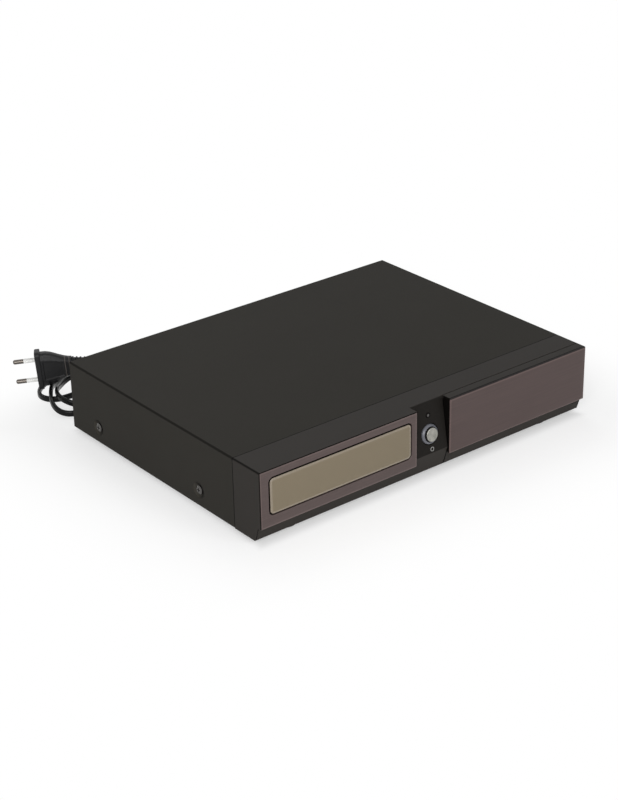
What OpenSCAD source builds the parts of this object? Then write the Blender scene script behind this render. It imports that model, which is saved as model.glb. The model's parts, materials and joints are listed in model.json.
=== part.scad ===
// Set-top television decoder with a drop-down flap, in millimetres.
// +X is to the right seen from the front, the front faces -Y and +Z is up.
// The origin lies on the floor under the middle of the box, its sockets included.

/* [Case] */
// Width over the cover
case_w = 340; // [336:1:380]
// Depth from the front plane to the cover's rear edge
case_d = 256; // [250:1:300]
// Height of the cover from its low edge to the top
case_h = 59; // [58:0.5:66]
// Thickness of the steel sheet
sheet_t = 1; // [0.8:0.1:1.2]
// Outer radius of the cover's bends
bend_r = 1.6; // [1.4:0.1:2.5]
// How far the rear panel sits inside the cover's rear edge
panel_inset = 1.2; // [0.5:0.1:3]
// Height of the feet under the cover
foot_h = 4; // [3:0.5:8]
// Diameter of a foot
foot_d = 22; // [16:1:24]
// Foot centre to the side of the case
foot_side = 38; // [30:1:50]
// Foot centre to the front plane and to the rear edge
foot_end = 21.9; // [21.9:0.1:25]

/* [Side screws] */
// Diameter of the pressed dimple at the surface
dimple_d = 14; // [11:0.5:16]
// Depth of the dimple
dimple_deep = 1.6; // [1.2:0.1:2.2]
// Height of the side screws above the cover's low edge
screw_z = 13; // [11:0.5:16]
// Front screw to the front plane
screw_front = 78; // [60:1:100]
// Distance between the two screws on a side
screw_span = 140; // [100:1:150]

/* [Front moulding] */
// Depth of the moulding from the front plane to the cover
bezel_d = 32; // [30:0.5:40]
// Wall thickness of the moulding
mould_t = 2.2; // [1.8:0.1:2.6]
// How far the moulding reaches below the cover's low edge
bezel_drop = 0.6; // [0.2:0.1:1.5]
// Width of the leaning middle strip
strip_w = 34; // [29:0.5:39]
// Middle of the strip to the right of the case's middle
strip_mid = 0.8; // [-2:0.1:2]
// Set-back of the strip at the top
strip_back = 8.3; // [6:0.1:10]
// Set-back of the nose line, where the strip meets the lower face
nose_back = 1.5; // [1:0.1:3]
// Height of the nose line above the cover's low edge
nose_h = 16.6; // [14:0.1:19]
// Set-back of the lower face at the bottom
sill_back = 7.1; // [5.5:0.1:8]
// Height of the panel's low edge above the cover's low edge
panel_low = 11.5; // [10:0.1:13]

/* [Display] */
// Thickness of the display panel
panel_t = 3; // [2.5:0.1:3.5]
// Lip of the moulding beside the panel
side_lip = 1; // [0.6:0.1:2]
// Lip of the moulding over the panel
top_lip = 0.8; // [0.6:0.1:2]
// Panel left over at the left of the window
window_left = 7; // [6:0.1:12]
// Panel left over between the window and the strip
window_right = 4.8; // [4.4:0.1:10]
// Panel left over above the window
window_over = 5.8; // [5:0.1:8]
// Panel left over below the window
window_under = 8.9; // [8:0.1:11]
// Corner radius of the window
window_r = 4.5; // [2:0.1:6]
// Recess of the lens behind the panel's face
lens_back = 0.3; // [0.2:0.1:1]
// Open gap round the lens
lens_gap = 0.8; // [0.2:0.1:1.2]

/* [Power button] */
// Outer diameter of the ring
ring_d = 17.6; // [15:0.1:20]
// Diameter of the cap
cap_d = 11.8; // [10:0.1:13]
// How far the ring's inner edge stands out of the strip
ring_out = 2; // [0.6:0.1:2.2]
// How far the cap stands out of the strip
cap_out = 3.3; // [2:0.1:4]
// Travel of the button
button_travel = 1.2; // [0.6:0.1:1.5]
// Centre of the button below the top of the case
button_down = 26.5; // [24:0.5:29]
// Centre of the receiver's lens below the top of the case
sensor_down = 11; // [8:0.5:13]
// Diameter of the receiver's lens
sensor_d = 3.6; // [3:0.1:5]

/* [Flap] */
// Depth of the flap
flap_d = 9; // [8.5:0.1:10]
// Thickness of the flap's metal skin
skin_t = 1.5; // [1:0.1:2]
// Wall of the flap's moulding
flap_t = 1.5; // [1.2:0.1:2]
// Thickness of the flap's lower lip
chin_t = 2; // [1.5:0.1:2.2]
// Gap between the flap and the moulding
flap_gap = 0.5; // [0.4:0.1:0.8]
// Diameter of the hinge pins
pin_d = 2.5; // [2:0.1:3]
// Height of the hinge axis above the cover's low edge
hinge_h = 9; // [8.5:0.1:10]
// Set-back of the hinge axis
hinge_back = 9.3; // [9.2:0.1:10]

/* [Keys] */
// Row of keys below the top of the case
key_down = 16; // [15:0.5:18]
// Width of a key
key_w = 9; // [6:0.1:9.5]
// Height of a key
key_h = 5.5; // [4:0.1:7]
// Distance between keys
key_pitch = 12; // [11.8:0.1:12.5]
// Travel of a key
key_travel = 0.8; // [0.4:0.1:1]
// How far a key stands out
key_out = 1.5; // [1:0.1:1.8]

/* [Slots] */
// Middle of the two module slots below the top of the case
slot_down = 24; // [22:0.5:26]
// Card slot below the row of keys
card_down = 18; // [15:0.5:19]
// Width of a module slot
slot_w = 54.6; // [54.2:0.1:56]
// Height of a module slot
slot_h = 5.4; // [5.2:0.1:6]
// Distance between the two module slots
slot_pitch = 16; // [14:0.5:18]
// Depth of a module slot behind the moulding
slot_deep = 70; // [50:1:75]
// Width of the card slot
card_w = 56; // [54.5:0.1:58]
// Height of the card slot
card_h = 2.6; // [1.8:0.1:3]
// Width of an eject bar
eject_w = 7; // [5:0.1:8]
// Height of an eject bar
eject_h = 4.5; // [3.5:0.1:6]
// How far an eject bar stands out
eject_out = 4.5; // [3:0.1:4.8]
// Travel of an eject bar
eject_travel = 4; // [3:0.1:4.3]

/* [Boards] */
// Height of the posts under the boards
post_h = 6; // [5:0.5:8]
// Thickness of a circuit board
board_t = 1.6; // [1.2:0.1:2]

/* [Rear sockets] */
// How far the aerial sockets stand out of the cover's rear edge
jack_out = 9; // [8:0.5:12]
// Outer diameter of an aerial socket
f_d = 9.4; // [9:0.1:10]
// Outer diameter of a phono barrel
phono_d = 8.3; // [8:0.1:8.6]
// Distance between phono jacks
phono_pitch = 13; // [12.5:0.1:14]

/* [Mains lead] */
// Width of the flat twin lead
cord_w = 5.4; // [5:0.1:6]
// Thickness of the flat twin lead
cord_t = 3.4; // [3:0.1:3.8]
// Radius of the coil's outer turn
coil_r = 34.5; // [34:0.5:38]
// Distance between turns in a layer
coil_pitch = 4; // [3.9:0.1:4.2]
// Rise from one layer of the coil to the next
coil_rise = 5.9; // [5.8:0.1:6.5]
// Length of the tapered strain relief outside the rear panel
bush_out = 22.7; // [20:0.1:24]
// Width of the plug's face
plug_w = 35.3; // [34.6:0.1:36]
// Thickness of the plug's face
plug_t = 13.7; // [12:0.1:13.7]
// Distance between the plug's pins
pin_span = 18.6; // [17:0.1:19.2]

/* [Fits] */
// Gap between pieces that slide or pass each other
slip = 0.3; // [0.25:0.05:0.4]
// Radial clearance of a turning pin
pin_clear = 0.05; // [0.02:0.01:0.09]
// Gap round a piece that is set in its seat
seat = 0.1; // [0.05:0.01:0.2]

/* [Hidden] */
$fn = 48;
eps = 0.01;
steel = "#3c3a38";
black = "#1b1a19";
brown = "#5e5150";
zinc = "#b9bcbf";
green = "#2d6b45";
half_w = case_w / 2;
y_front = -(case_d + jack_out) / 2;
y_rear = y_front + case_d;
y_seam = y_front + bezel_d;
z_base = foot_h;
z_top = foot_h + case_h;
z_sill = z_base - bezel_drop;
z_floor = z_base + sheet_t;
z_board = z_floor + post_h;
z_pcb = z_board + board_t;
foot_front = y_front + foot_end;
foot_rear = y_rear - foot_end;
spigot_r = 2.6;
spigot_up = 2;
edge_r = 0.5;
sill_r = 0.8;

// Lines of the moulding's section, as [y, z]
sill_y = y_front + sill_back;
nose_y = y_front + nose_back;
nose_z = z_base + nose_h;
strip_y = y_front + strip_back;
panel_z = z_base + panel_low;
panel_y = y_front + panel_t;
strip_lean = atan2(strip_y - nose_y, z_top - nose_z);
button_at = z_top - button_down;
sensor_at = z_top - sensor_down;
strip_x0 = strip_mid - strip_w / 2;
strip_x1 = strip_mid + strip_w / 2;
window_xs = [-half_w + side_lip + window_left, strip_x0 - window_right];
window_zs = [panel_z + window_under, z_top - top_lip - window_over];
window_w = window_xs[1] - window_xs[0];
window_h = window_zs[1] - window_zs[0];
window_x = (window_xs[0] + window_xs[1]) / 2;
window_z = (window_zs[0] + window_zs[1]) / 2;
function sill_at(z) = sill_y + (nose_y - sill_y) * (z - z_sill) / (nose_z - z_sill);
function sill_z(y) = z_sill + (nose_z - z_sill) * (y - sill_y) / (nose_y - sill_y);
function strip_at(z) = nose_y + (strip_y - nose_y) * (z - nose_z) / (z_top - nose_z);

// Flap, hinge and the bay behind it
flap_x = strip_x1 + flap_gap;
flap_y = y_front + flap_d;
skin_y = y_front + skin_t;
hinge_y = y_front + hinge_back;
hinge_z = z_base + hinge_h;
boss_r = pin_d / 2 + 1.45;
boss_w = 4.6;
boss_in = 3.5;
lug_w = 4;
bay_y = flap_y + flap_gap;
bay_z = hinge_z + boss_r + 1.3;
bay_in = bay_y + mould_t;
toe_y = hinge_y + norm([sill_y - hinge_y, z_sill - hinge_z]) + 0.6;

// Places of the keys, slots and bars in the bay
key_count = 5;
key_z = z_top - key_down;
reader_wall = 2;
card_x = flap_x + card_w / 2 + 2 * reader_wall;
card_z = key_z - card_down;
key_x = card_x - (key_count - 1) * key_pitch / 2;
cage_wall = 1.6;
cage_x1 = half_w - mould_t - 1;
eject_x = cage_x1 - cage_wall - slip - eject_w / 2;
slot_x = eject_x - eject_w / 2 - slip - 4.9 - slot_w / 2;
cage_x0 = slot_x - slot_w / 2 - cage_wall;
slot_z = z_top - slot_down;
cage_front = bay_in + slip;
cage_back = cage_front + slot_deep + 4;
cage_top = slot_z + slot_pitch / 2 + slot_h / 2 + cage_wall;
cage_low = slot_z - slot_pitch / 2 - slot_h / 2 - cage_wall;
eject_len = 22;

// Boards behind the front
switch_t = 3.4;
plunger_h = 0.9;
plunger_r = 1.7;
front_board_y = y_front + 22.5;
key_board_y = bay_in + 7.6;
switch_side = 6;
button_end = front_board_y - switch_t - plunger_h - button_travel - 0.7;

// Main and power boards
main_w = 229;
main_x1 = half_w - 6;
main_x0 = main_x1 - main_w;
main_y0 = y_seam + 22;
main_y1 = y_rear - 6;
power_x0 = -half_w + 12;
power_x1 = main_x0 - 9;
power_y0 = y_seam + 48;
power_y1 = y_rear - 14;

// Rear panel and the sockets along it
panel_out = y_rear - panel_inset;
panel_back = panel_out - sheet_t;
flange_x = half_w - sheet_t - dimple_deep;
flange_h = 22;
tray_front = y_seam + seat;
socket_gap = 1.5;
network_size = [15.5, 13.5];
network_x = main_x1 - network_size.x / 2;
network_z = z_pcb + network_size.y / 2 + 0.25;
optical_size = [10, 10];
optical_x = network_x - network_size.x / 2 - socket_gap - optical_size.x / 2;
optical_z = z_pcb + optical_size.y / 2 + 0.3;
hdmi_size = [15, 5.8];
hdmi_x = optical_x - optical_size.x / 2 - socket_gap - hdmi_size.x / 2;
hdmi_z = z_pcb + hdmi_size.y / 2 + 0.3;
small_d = 16;
small_out = 1;
phono_w = 27;
phono_x = hdmi_x - hdmi_size.x / 2 - socket_gap - phono_w / 2;
phono_d_in = 18;
phono_out = 8.6;
phono_first = 7.5;
phono_xs = [phono_x - phono_pitch / 2, phono_x + phono_pitch / 2];
phono_zs = [for (i = [0:2]) z_pcb + phono_first + i * phono_pitch];
collar_r = phono_d / 2 + 1.4;
collar_out = 2;
scart_w = 54;
scart_x = phono_x - phono_w / 2 - socket_gap - scart_w / 2;
scart_d = 20;
scart_h = 40;
scart_nose = [49, 16];
scart_out = 4.2;
scart_zs = [z_pcb + scart_h / 4, z_pcb + scart_h * 3 / 4];
scart_slit = [1.4, 7];
scart_wall = 1.2;
contact_pitch = 3.8;
contact_slit = [0.9, 6, 3];
tuner_w = 44;
tuner_d = 60;
tuner_h = 15;
tuner_xs = [for (i = [0, 1]) scart_x - scart_w / 2 - socket_gap - tuner_w / 2 - (1 - i) * (tuner_w + socket_gap)];
f_span = 20;
f_z = z_pcb + tuner_h / 2;
f_xs = [for (x = tuner_xs, s = [-1, 1]) x + s * f_span / 2];
f_cup = [1.2, 3];
nut_t = 2.4;
nut_r = f_d / 2 + 1.8;

// Mains switch on the rear panel
switch_x = power_x0 + 20;
switch_z = z_floor + 20;
switch_hole = [15, 21];
switch_rim = 1.6;
switch_deep = 24;
rocker_w = 9.4;
rocker_h = 7.8;
rocker_tilt = 10;
pivot_r = 1;
pivot_y = panel_out;

// Strain relief, lead, coil and plug; route points are [right of the strain relief, behind the rear edge,
// above where the lead lies on the floor]
bush_x = power_x1 - 11;
bush_z = z_floor + 9;
bush_r = [6.5, 4.9, 3.6];
cord_z = cord_w / 2 + 0.2;
coil_x = 39;
coil_y = 50.5;
coil_turns = 4.625;
tie_t = 0.5;
lead_points = [
    [0, 21.5, bush_z - cord_z], [0, 27, bush_z - cord_z], [0, 40, 8.1], [-1, 54, 2.6], [-4, 66, 0], [-10, 78, 0],
    [-19, 88, 0], [-30, 93.5, 0], [-42, 94.3, 0], [-53.5, 91.6, 0], [-63.3, 86.4, 0], [-71, 78.8, 0],
    [-74.9, 70, 0], [-73, 61, 0], [-66, 55.2, 0], [-56.5, 53.8, 0], [-46, 54.4, 0], [-34.5, 58, 0],
    [-25.6, 65.8, 0], [-23.4, 76, 0], [-29.4, 84.8, 0], [-39.5, 87.6, 0], [-48.5, 84.4, 0.3], [-56.3, 78.8, 1.6],
    [-63.8, 69.8, 4.7], [-71.8, 57.8, 6.1], [-77.4, 48, 5.7], [-80.2, 39.5, 3.6], [-79.3, 31.2, 1.1],
    [-74.6, 24.8, 0], [-66.6, 21.2, 0], [-56, 20.3, 0], [-45, 21.2, 0], [-33, 24.8, 0], [-23.5, 32.3, 0],
    [-17.7, 43, 0.7], [-16.5, 55, 3.1], [-20, 66.5, 5.8], [-28, 75, 5.8], [-37.5, 79.4, 3.9], [-45.8, 78.4, 1.9],
    [-53.3, 73.2, 1.9], [-60.5, 65.3, 4.5], [-66.8, 56, 6.1], [-69.4, 46.5, 5.7], [-66.8, 38, 3.6],
    [-60, 32.8, 1.1], [-51, 31.4, 0.1], [-41, 31.8, 2.1], [-31, 31.5, 5.1], [-20, 29.7, 5.9], [-9, 26.6, 5.1],
    [2, 22.8, 2.7], [13, 18.8, 0.7], [23, 16.6, tie_t], [coil_x - cord_w, coil_y - coil_r, tie_t]];
plug_at = [-70.7, 80.4, plug_w / 2 + cord_w + 0.3];
plug_turn = 33;
plug_tip = 4;
flange_t = 4.5;
plug_len = 26.5;
plug_relief = 20;
plug_sides = [[0, 15.6], [4.7, 15.5], [8.6, 14.6], [12.5, 13], [16.4, 11.2], [20.3, 9.7], [23.4, 8.8], [26.5, 8.4]];
plug_axis = [cos(plug_turn) * cos(plug_tip), -sin(plug_turn) * cos(plug_tip), sin(plug_tip)];
plug_end = plug_at + plug_axis * (flange_t + plug_len + plug_relief) - [0, 0, cord_z];
tail_points = [
    [5.5, 65.8, 6.9], [-0.5, 59.8, 9.5], [-6.3, 54, 13.9], [-12.2, 50.2, 18.3], [-18.4, 48.4, 22.3],
    plug_end + 5 * plug_axis, plug_end];
prong_len = 19;
prong_r = 2;
sleeve_len = 10;

// Children's drawing plane becomes YZ, drawn out from x0 to x1
module along_x(x0, x1) {
    translate([x0, 0, 0]) rotate([90, 0, 90]) linear_extrude(x1 - x0) children();
}

// Children's drawing plane becomes XZ, drawn out from y0 to y1
module along_y(y0, y1) {
    translate([0, y1, 0]) rotate([90, 0, 0]) linear_extrude(y1 - y0) children();
}

// Outline with each corner turned into an arc of the radius given for it, or left sharp where that is 0
function ease(points, radii, steps = 4) = let (n = len(points)) [for (i = [0:n - 1])
    let (p = points[i], a = points[(i + n - 1) % n] - p, b = points[(i + 1) % n] - p,
         u = a / norm(a), v = b / norm(b), r = radii[i])
    each (r == 0 ? [p] : let (half = acos(u * v) / 2, c = p + (u + v) / norm(u + v) * r / sin(half),
                              s = p + u * r / tan(half) - c, e = p + v * r / tan(half) - c, turn = 180 - 2 * half)
        [for (k = [0:steps]) c + (s * sin(turn * (1 - k / steps)) + e * sin(turn * k / steps)) / sin(turn)])];

// Box from one corner to the other
module block(a, b) {
    translate(a) cube(b - a);
}

// Round bar along Y from y0 to y1
module bar_y(x, z, r, y0, y1) {
    translate([x, y0, z]) rotate([-90, 0, 0]) cylinder(r = r, h = y1 - y0);
}

// Flat rectangle with round corners, centred
module rounded(w, h, r) {
    square([w - 2 * r, h], center = true);
    square([w, h - 2 * r], center = true);
    for (sx = [-1, 1], sy = [-1, 1])
        translate([sx * (w / 2 - r), sy * (h / 2 - r)]) circle(r);
}

// Puts children on the leaning strip at height z, with their +Z out of its face
module on_strip(z) {
    translate([strip_mid, strip_at(z), z]) rotate([90 - strip_lean, 0, 0]) children();
}

// Pan-head screw with a cross recess, its head on the plane z = 0 and its shank below
module screw(head_r, head_h, shank_r, shank_l) {
    difference() {
        union() {
            cylinder(r = head_r, h = head_h * 0.6);
            translate([0, 0, head_h * 0.6]) cylinder(r1 = head_r, r2 = head_r * 0.72, h = head_h * 0.4);
            translate([0, 0, -shank_l]) cylinder(r = shank_r, h = shank_l + eps);
        }
        for (a = [0, 90])
            rotate(a) translate([-head_r * 0.55, -0.4, head_h * 0.35]) cube([head_r * 1.1, 0.8, head_h]);
    }
}

// Places children at the four side screws, with +Z out of the case side
module at_side_screws() {
    for (side = [-1, 1], y = [screw_front, screw_front + screw_span])
        translate([side * half_w, y_front + y, z_base + screw_z]) rotate([0, side * 90, 0]) children();
}

// Places children at the two feet in one row, the row's distance along Y given
module at_feet(y) {
    for (sx = [-1, 1]) translate([sx * (half_w - foot_side), y, 0]) children();
}

main_posts = [for (x = [main_x0 + 6, (main_x0 + main_x1) / 2, main_x1 - 6],
                   y = [main_y0 + 6, main_y1 - 74]) [x, y]];
power_posts = [for (x = [power_x0 + 6, power_x1 - 6], y = [power_y0 + 6, power_y1 - 30]) [x, y]];
post_r = 3;
thread_r = 1.3;

bezel_post_xs = [-half_w + 60, 0, half_w - 60];
bezel_post_z = z_floor + 6;
lip_screw_xs = [-half_w + 60, 0, half_w - 60];
lip_d = 10;

module bottom_tray() color(zinc) {
    slots_x = [-1, 1];
    difference() {
        union() {
            block([-flange_x, tray_front, z_base], [flange_x, panel_back, z_floor]);
            for (s = [-1, 1])
                translate([s > 0 ? flange_x - sheet_t : -flange_x, tray_front, z_base])
                    cube([sheet_t, panel_back - tray_front, flange_h]);
            block([-flange_x, tray_front, z_base], [flange_x, tray_front + sheet_t, z_base + flange_h * 0.6]);
            for (p = concat(main_posts, power_posts))
                translate([p.x, p.y, z_base]) cylinder(r = post_r, h = sheet_t + post_h);
        }
        for (p = concat(main_posts, power_posts))
            translate([p.x, p.y, z_floor + 0.5]) cylinder(r = thread_r, h = post_h + 1);
        at_feet(foot_rear) translate([0, 0, z_base - 1]) cylinder(r = spigot_r + seat, h = sheet_t + 2);
        at_side_screws() translate([0, 0, -dimple_deep - 4]) cylinder(r = thread_r, h = 4);
        for (x = bezel_post_xs)
            bar_y(x, bezel_post_z, thread_r, tray_front - 1, tray_front + 3);
        for (x = lip_screw_xs)
            translate([x, panel_back - lip_d / 2, z_base - 1]) cylinder(r = thread_r, h = 4);
        for (s = slots_x, i = [0:7])
            translate([s * 80 - 42 + i * 12, y_seam + 90, z_base - 1]) cube([3, 40, sheet_t + 2]);
    }
}

// Pressed dimple: a cone from the case side inwards, grown by the sheet for the metal and not for the hollow
module dimple(grow, top) {
    low_r = dimple_d / 2 - dimple_deep * 1.2 + grow / 2;
    high_r = dimple_d / 2 + grow / 2;
    rotate_extrude() polygon([
        [0, -dimple_deep - grow], [low_r, -dimple_deep - grow], [high_r, -grow / 2], [high_r, top], [0, top]]);
}

module wrap_cover() color(steel) {
    cover_front = y_seam + slip;
    difference() {
        union() {
            difference() {
                along_y(cover_front, y_rear) translate([0, z_top - case_h / 2]) rounded(case_w, case_h, bend_r);
                along_y(cover_front - 1, y_rear + 1) {
                    inner_h = case_h - sheet_t + 5;
                    translate([0, z_top - sheet_t - inner_h / 2])
                        rounded(case_w - 2 * sheet_t, inner_h, max(bend_r - sheet_t, 0.2));
                }
            }
            // Square the low edges that the rounded outline took off
            for (s = [-1, 1])
                translate([s > 0 ? half_w - sheet_t : -half_w, cover_front, z_base])
                    cube([sheet_t, y_rear - cover_front, bend_r + 1]);
            at_side_screws() dimple(sheet_t, -sheet_t / 3);
        }
        at_side_screws() {
            dimple(0, 1);
            translate([0, 0, -dimple_deep - sheet_t - 1]) cylinder(r = thread_r + 0.5, h = sheet_t + 2);
        }
    }
}

module rear_panel() color(zinc) {
    difference() {
        union() {
            block([-flange_x, panel_back, z_floor], [flange_x, panel_out, z_top - sheet_t - seat]);
            block([-flange_x + 20, panel_back - lip_d, z_floor], [flange_x - 20, panel_back + eps, z_floor + sheet_t]);
        }
        for (x = lip_screw_xs)
            translate([x, panel_back - lip_d / 2, z_floor - 1]) cylinder(r = thread_r, h = 4);
        through = [panel_back - 1, panel_out + 1];
        for (x = f_xs) bar_y(x, f_z, f_d / 2 + seat, through[0], through[1]);
        for (z = scart_zs) along_y(through[0], through[1])
            translate([scart_x, z]) scart_outline(seat);
        for (x = phono_xs, z = phono_zs) bar_y(x, z, collar_r + seat, through[0], through[1]);
        for (c = [[hdmi_x, hdmi_z, hdmi_size], [optical_x, optical_z, optical_size],
                  [network_x, network_z, network_size]])
            along_y(through[0], through[1]) translate([c[0], c[1]])
                square([c[2].x + 2 * seat, c[2].y + 2 * seat], center = true);
        along_y(through[0], through[1]) translate([switch_x, switch_z])
            square([switch_hole.x + 2 * seat, switch_hole.y + 2 * seat], center = true);
        bar_y(bush_x, bush_z, bush_r[1] + seat, through[0], through[1]);
        vent_low = switch_z + switch_hole.y / 2 + 6;
        for (i = [0:13], z = [vent_low])
            along_y(through[0], through[1]) translate([-half_w + 22 + i * 6, z])
                translate([-1.25, 0]) square([2.5, z_top - vent_low - 9]);
    }
}

// Outline of a video socket's nose, one corner cut away as the plug needs
module scart_outline(grow) {
    w = scart_nose.x / 2 + grow;
    h = scart_nose.y / 2 + grow;
    polygon([[-w, -h], [w - 5, -h], [w, -h + 5], [w, h], [-w, h]]);
}

module bezel_left() polygon(ease([
    [y_seam, z_top], [y_front, z_top], [y_front, z_top - top_lip], [panel_y, z_top - top_lip],
    [panel_y, sill_z(panel_y)], [sill_y, z_sill], [y_seam, z_sill]], [0, edge_r, 0, 0, 0, sill_r, 0]));

module bezel_side() polygon(ease([
    [y_seam, z_top], [y_front, z_top], [y_front, panel_z], [sill_at(panel_z), panel_z],
    [sill_y, z_sill], [y_seam, z_sill]], [0, edge_r, edge_r, 0, sill_r, 0]));

module bezel_strip() polygon(ease([
    [y_seam, z_top], [strip_y, z_top], [nose_y, nose_z], [sill_y, z_sill], [y_seam, z_sill]],
    [0, 2 * sill_r, sill_r, sill_r, 0]));

module bezel_bay() polygon([
    [y_seam, z_top], [bay_y, z_top], [bay_y, bay_z], [toe_y, bay_z], [toe_y, z_sill], [y_seam, z_sill]]);

// The front seen from ahead, its upper corners bent like the cover's
module front_outline(x0, r0) {
    along_y(y_front - 1, y_seam + 5) polygon(ease(
        [[x0, z_sill - 1], [half_w, z_sill - 1], [half_w, z_top], [x0, z_top]], [0, 0, bend_r, r0]));
}

// The front seen from above, its upright edges eased
module front_plan(x0, y1) {
    translate([0, 0, z_sill - 2]) linear_extrude(case_h + 4) polygon(ease(
        [[x0, y_front], [half_w, y_front], [half_w, y1], [x0, y1]], [edge_r, edge_r, 0, 0]));
}

// The hollow behind each stretch of the moulding, one wall inside its outline
module hollow_left() polygon([
    [y_seam + 1, z_top - mould_t], [panel_y + mould_t, z_top - mould_t], [panel_y + mould_t, sill_z(panel_y)],
    [sill_y + mould_t, z_sill + mould_t], [y_seam + 1, z_sill + mould_t]]);

module hollow_strip() polygon([
    [y_seam + 1, z_top - mould_t], [strip_at(z_top - mould_t) + mould_t, z_top - mould_t],
    [nose_y + mould_t, nose_z],
    [sill_y + mould_t, z_sill + mould_t], [y_seam + 1, z_sill + mould_t]]);

module hollow_bay() polygon([
    [y_seam + 1, z_top - mould_t], [bay_in, z_top - mould_t], [bay_in, bay_z + mould_t],
    [toe_y + mould_t, bay_z + mould_t], [toe_y + mould_t, z_sill + mould_t], [y_seam + 1, z_sill + mould_t]]);

lens_flange = 1.7;
lens_flange_t = 1.2;
lug_xs = [flap_x + boss_in + boss_w + slip, half_w - boss_in - boss_w - slip - lug_w];
boss_xs = [flap_x + boss_in, half_w - boss_in - boss_w];
board_post_r = 2.2;
ribbon_x = main_x0 + 9;
ribbon_w = 16;
ribbon_plug = 6;
front_board_x = [-half_w + 4, strip_x1 - 4];
front_board_rim = [2.5, 5];
front_board_z = [z_base + 12, z_top - 6];
key_board_rim = [6, 9];
key_board_x = [key_x - key_board_rim.x, key_x + (key_count - 1) * key_pitch + key_board_rim.x];
key_board_z = [key_z - key_board_rim.y, key_z + key_board_rim.y];
button_hole = cap_d + 2 * slip;

module front_bezel() color(black) {
    difference() {
        union() {
            difference() {
                intersection() {
                    union() {
                        along_x(-half_w, strip_x0) bezel_left();
                        along_x(-half_w, -half_w + side_lip) bezel_side();
                        along_x(strip_x0, strip_x1) bezel_strip();
                        along_x(strip_x1, half_w) bezel_bay();
                    }
                    front_outline(-half_w, bend_r);
                    front_plan(-half_w, y_seam);
                }
                along_x(-half_w + mould_t, strip_x0 - mould_t) hollow_left();
                along_x(strip_x0 - mould_t - 1, strip_x1 - mould_t) hollow_strip();
                along_x(strip_x1 - mould_t - eps, half_w - mould_t) hollow_bay();
            }
            // Tongue that the cover's front edge slides over
            block([-half_w + 8, y_seam - 3, z_top - sheet_t - seat - 1.4],
                  [half_w - 8, y_seam + 4, z_top - sheet_t - seat]);
            for (side = [-1, 1])
                translate([side > 0 ? half_w - sheet_t - seat - 1.2 : -half_w + sheet_t + seat, y_seam - 3,
                           z_base + flange_h + 3])
                    cube([1.2, 7, case_h - flange_h - 12]);
            // Blocks for the screws through the tray's front flange
            for (x = bezel_post_xs)
                block([x - 5, toe_y + mould_t - eps, z_sill + eps], [x + 5, y_seam, bezel_post_z + 4]);
            // Posts that carry the display board and the key board
            for (x = front_board_x, z = front_board_z)
                let (left = x < strip_x0, pz = z + (z < window_z ? 4 : -4), face = left ? panel_y : strip_at(pz))
                    bar_y(x + (left ? front_board_rim[0] : -front_board_rim[1]), pz, board_post_r, face + mould_t * 0.5, front_board_y);
            for (x = key_board_x, z = key_board_z)
                bar_y(x + (x < card_x ? 2.4 : -2.4), z + (z < key_z ? 2.4 : -2.4), board_post_r,
                      bay_y + mould_t * 0.5, key_board_y);
            for (x = lug_xs) along_x(x, x + lug_w) {
                translate([hinge_y, hinge_z]) circle(boss_r);
                translate([hinge_y - boss_r, hinge_z]) square([2 * boss_r, bay_z + mould_t - hinge_z]);
            }
        }
        // Window: a pocket for the lens flange and a way through for the display
        along_y(panel_y - 1, panel_y + lens_flange_t + seat) translate([window_x, window_z])
            rounded(window_w + 2 * lens_flange + 2 * seat, window_h + 2 * lens_flange + 2 * seat, window_r);
        along_y(panel_y - 1, panel_y + mould_t + 1) translate([window_x, window_z])
            rounded(window_w - 3, window_h - 3, window_r - 1);
        on_strip(button_at) {
            translate([0, 0, -1.6]) cylinder(r = ring_d / 2 + seat, h = 5);
            translate([0, 0, -6]) cylinder(r = button_hole / 2, h = 10);
        }
        on_strip(sensor_at) translate([0, 0, -6]) cylinder(r = sensor_d / 2 + seat, h = 10);
        for (i = [0:key_count - 1])
            along_y(bay_y - 1, bay_in + 1) translate([key_x + i * key_pitch, key_z])
                rounded(key_w + 2 * slip, key_h + 2 * slip, 1.2 + slip);
        for (k = [-1, 1]) {
            along_y(bay_y - 1, bay_in + 1) translate([slot_x, slot_z + k * slot_pitch / 2])
                square([slot_w, slot_h], center = true);
            along_y(bay_y - 1, bay_in + 1) translate([eject_x, slot_z + k * slot_pitch / 2])
                square([eject_w + 2 * slip, eject_h + 2 * slip], center = true);
        }
        along_y(bay_y - 1, bay_in + 1) translate([card_x, card_z]) square([card_w, card_h], center = true);
        for (x = lug_xs)
            translate([x - 1, hinge_y, hinge_z]) rotate([0, 90, 0]) cylinder(r = pin_d / 2 + 0.01, h = lug_w + 2);
        for (x = bezel_post_xs) bar_y(x, bezel_post_z, thread_r, y_seam - 8, y_seam + 1);
        at_feet(foot_front) translate([0, 0, z_sill - 1])
            cylinder(r = spigot_r + seat, h = mould_t + spigot_up + 1.5);
    }
}

module display_panel() color(brown) {
    difference() {
        intersection() {
            top = z_top - top_lip - seat;
            along_x(-half_w + side_lip + seat, strip_x0) polygon(ease(
                [[panel_y, panel_z], [panel_y, top], [y_front, top], [y_front, panel_z]], [0, 0, edge_r, edge_r]));
            front_plan(-half_w + side_lip + seat, panel_y);
        }
        along_y(y_front - 1, panel_y + 1) translate([window_x, window_z]) rounded(window_w, window_h, window_r);
    }
}

module display_lens() color("#85795f") {
    along_y(y_front + lens_back, panel_y + eps) translate([window_x, window_z])
        rounded(window_w - 2 * lens_gap, window_h - 2 * lens_gap, window_r - lens_gap);
    along_y(panel_y, panel_y + lens_flange_t) translate([window_x, window_z])
        rounded(window_w + 2 * lens_flange, window_h + 2 * lens_flange, window_r);
}

tube_y = panel_y + mould_t + 0.6;
tube_t = 7;

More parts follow.
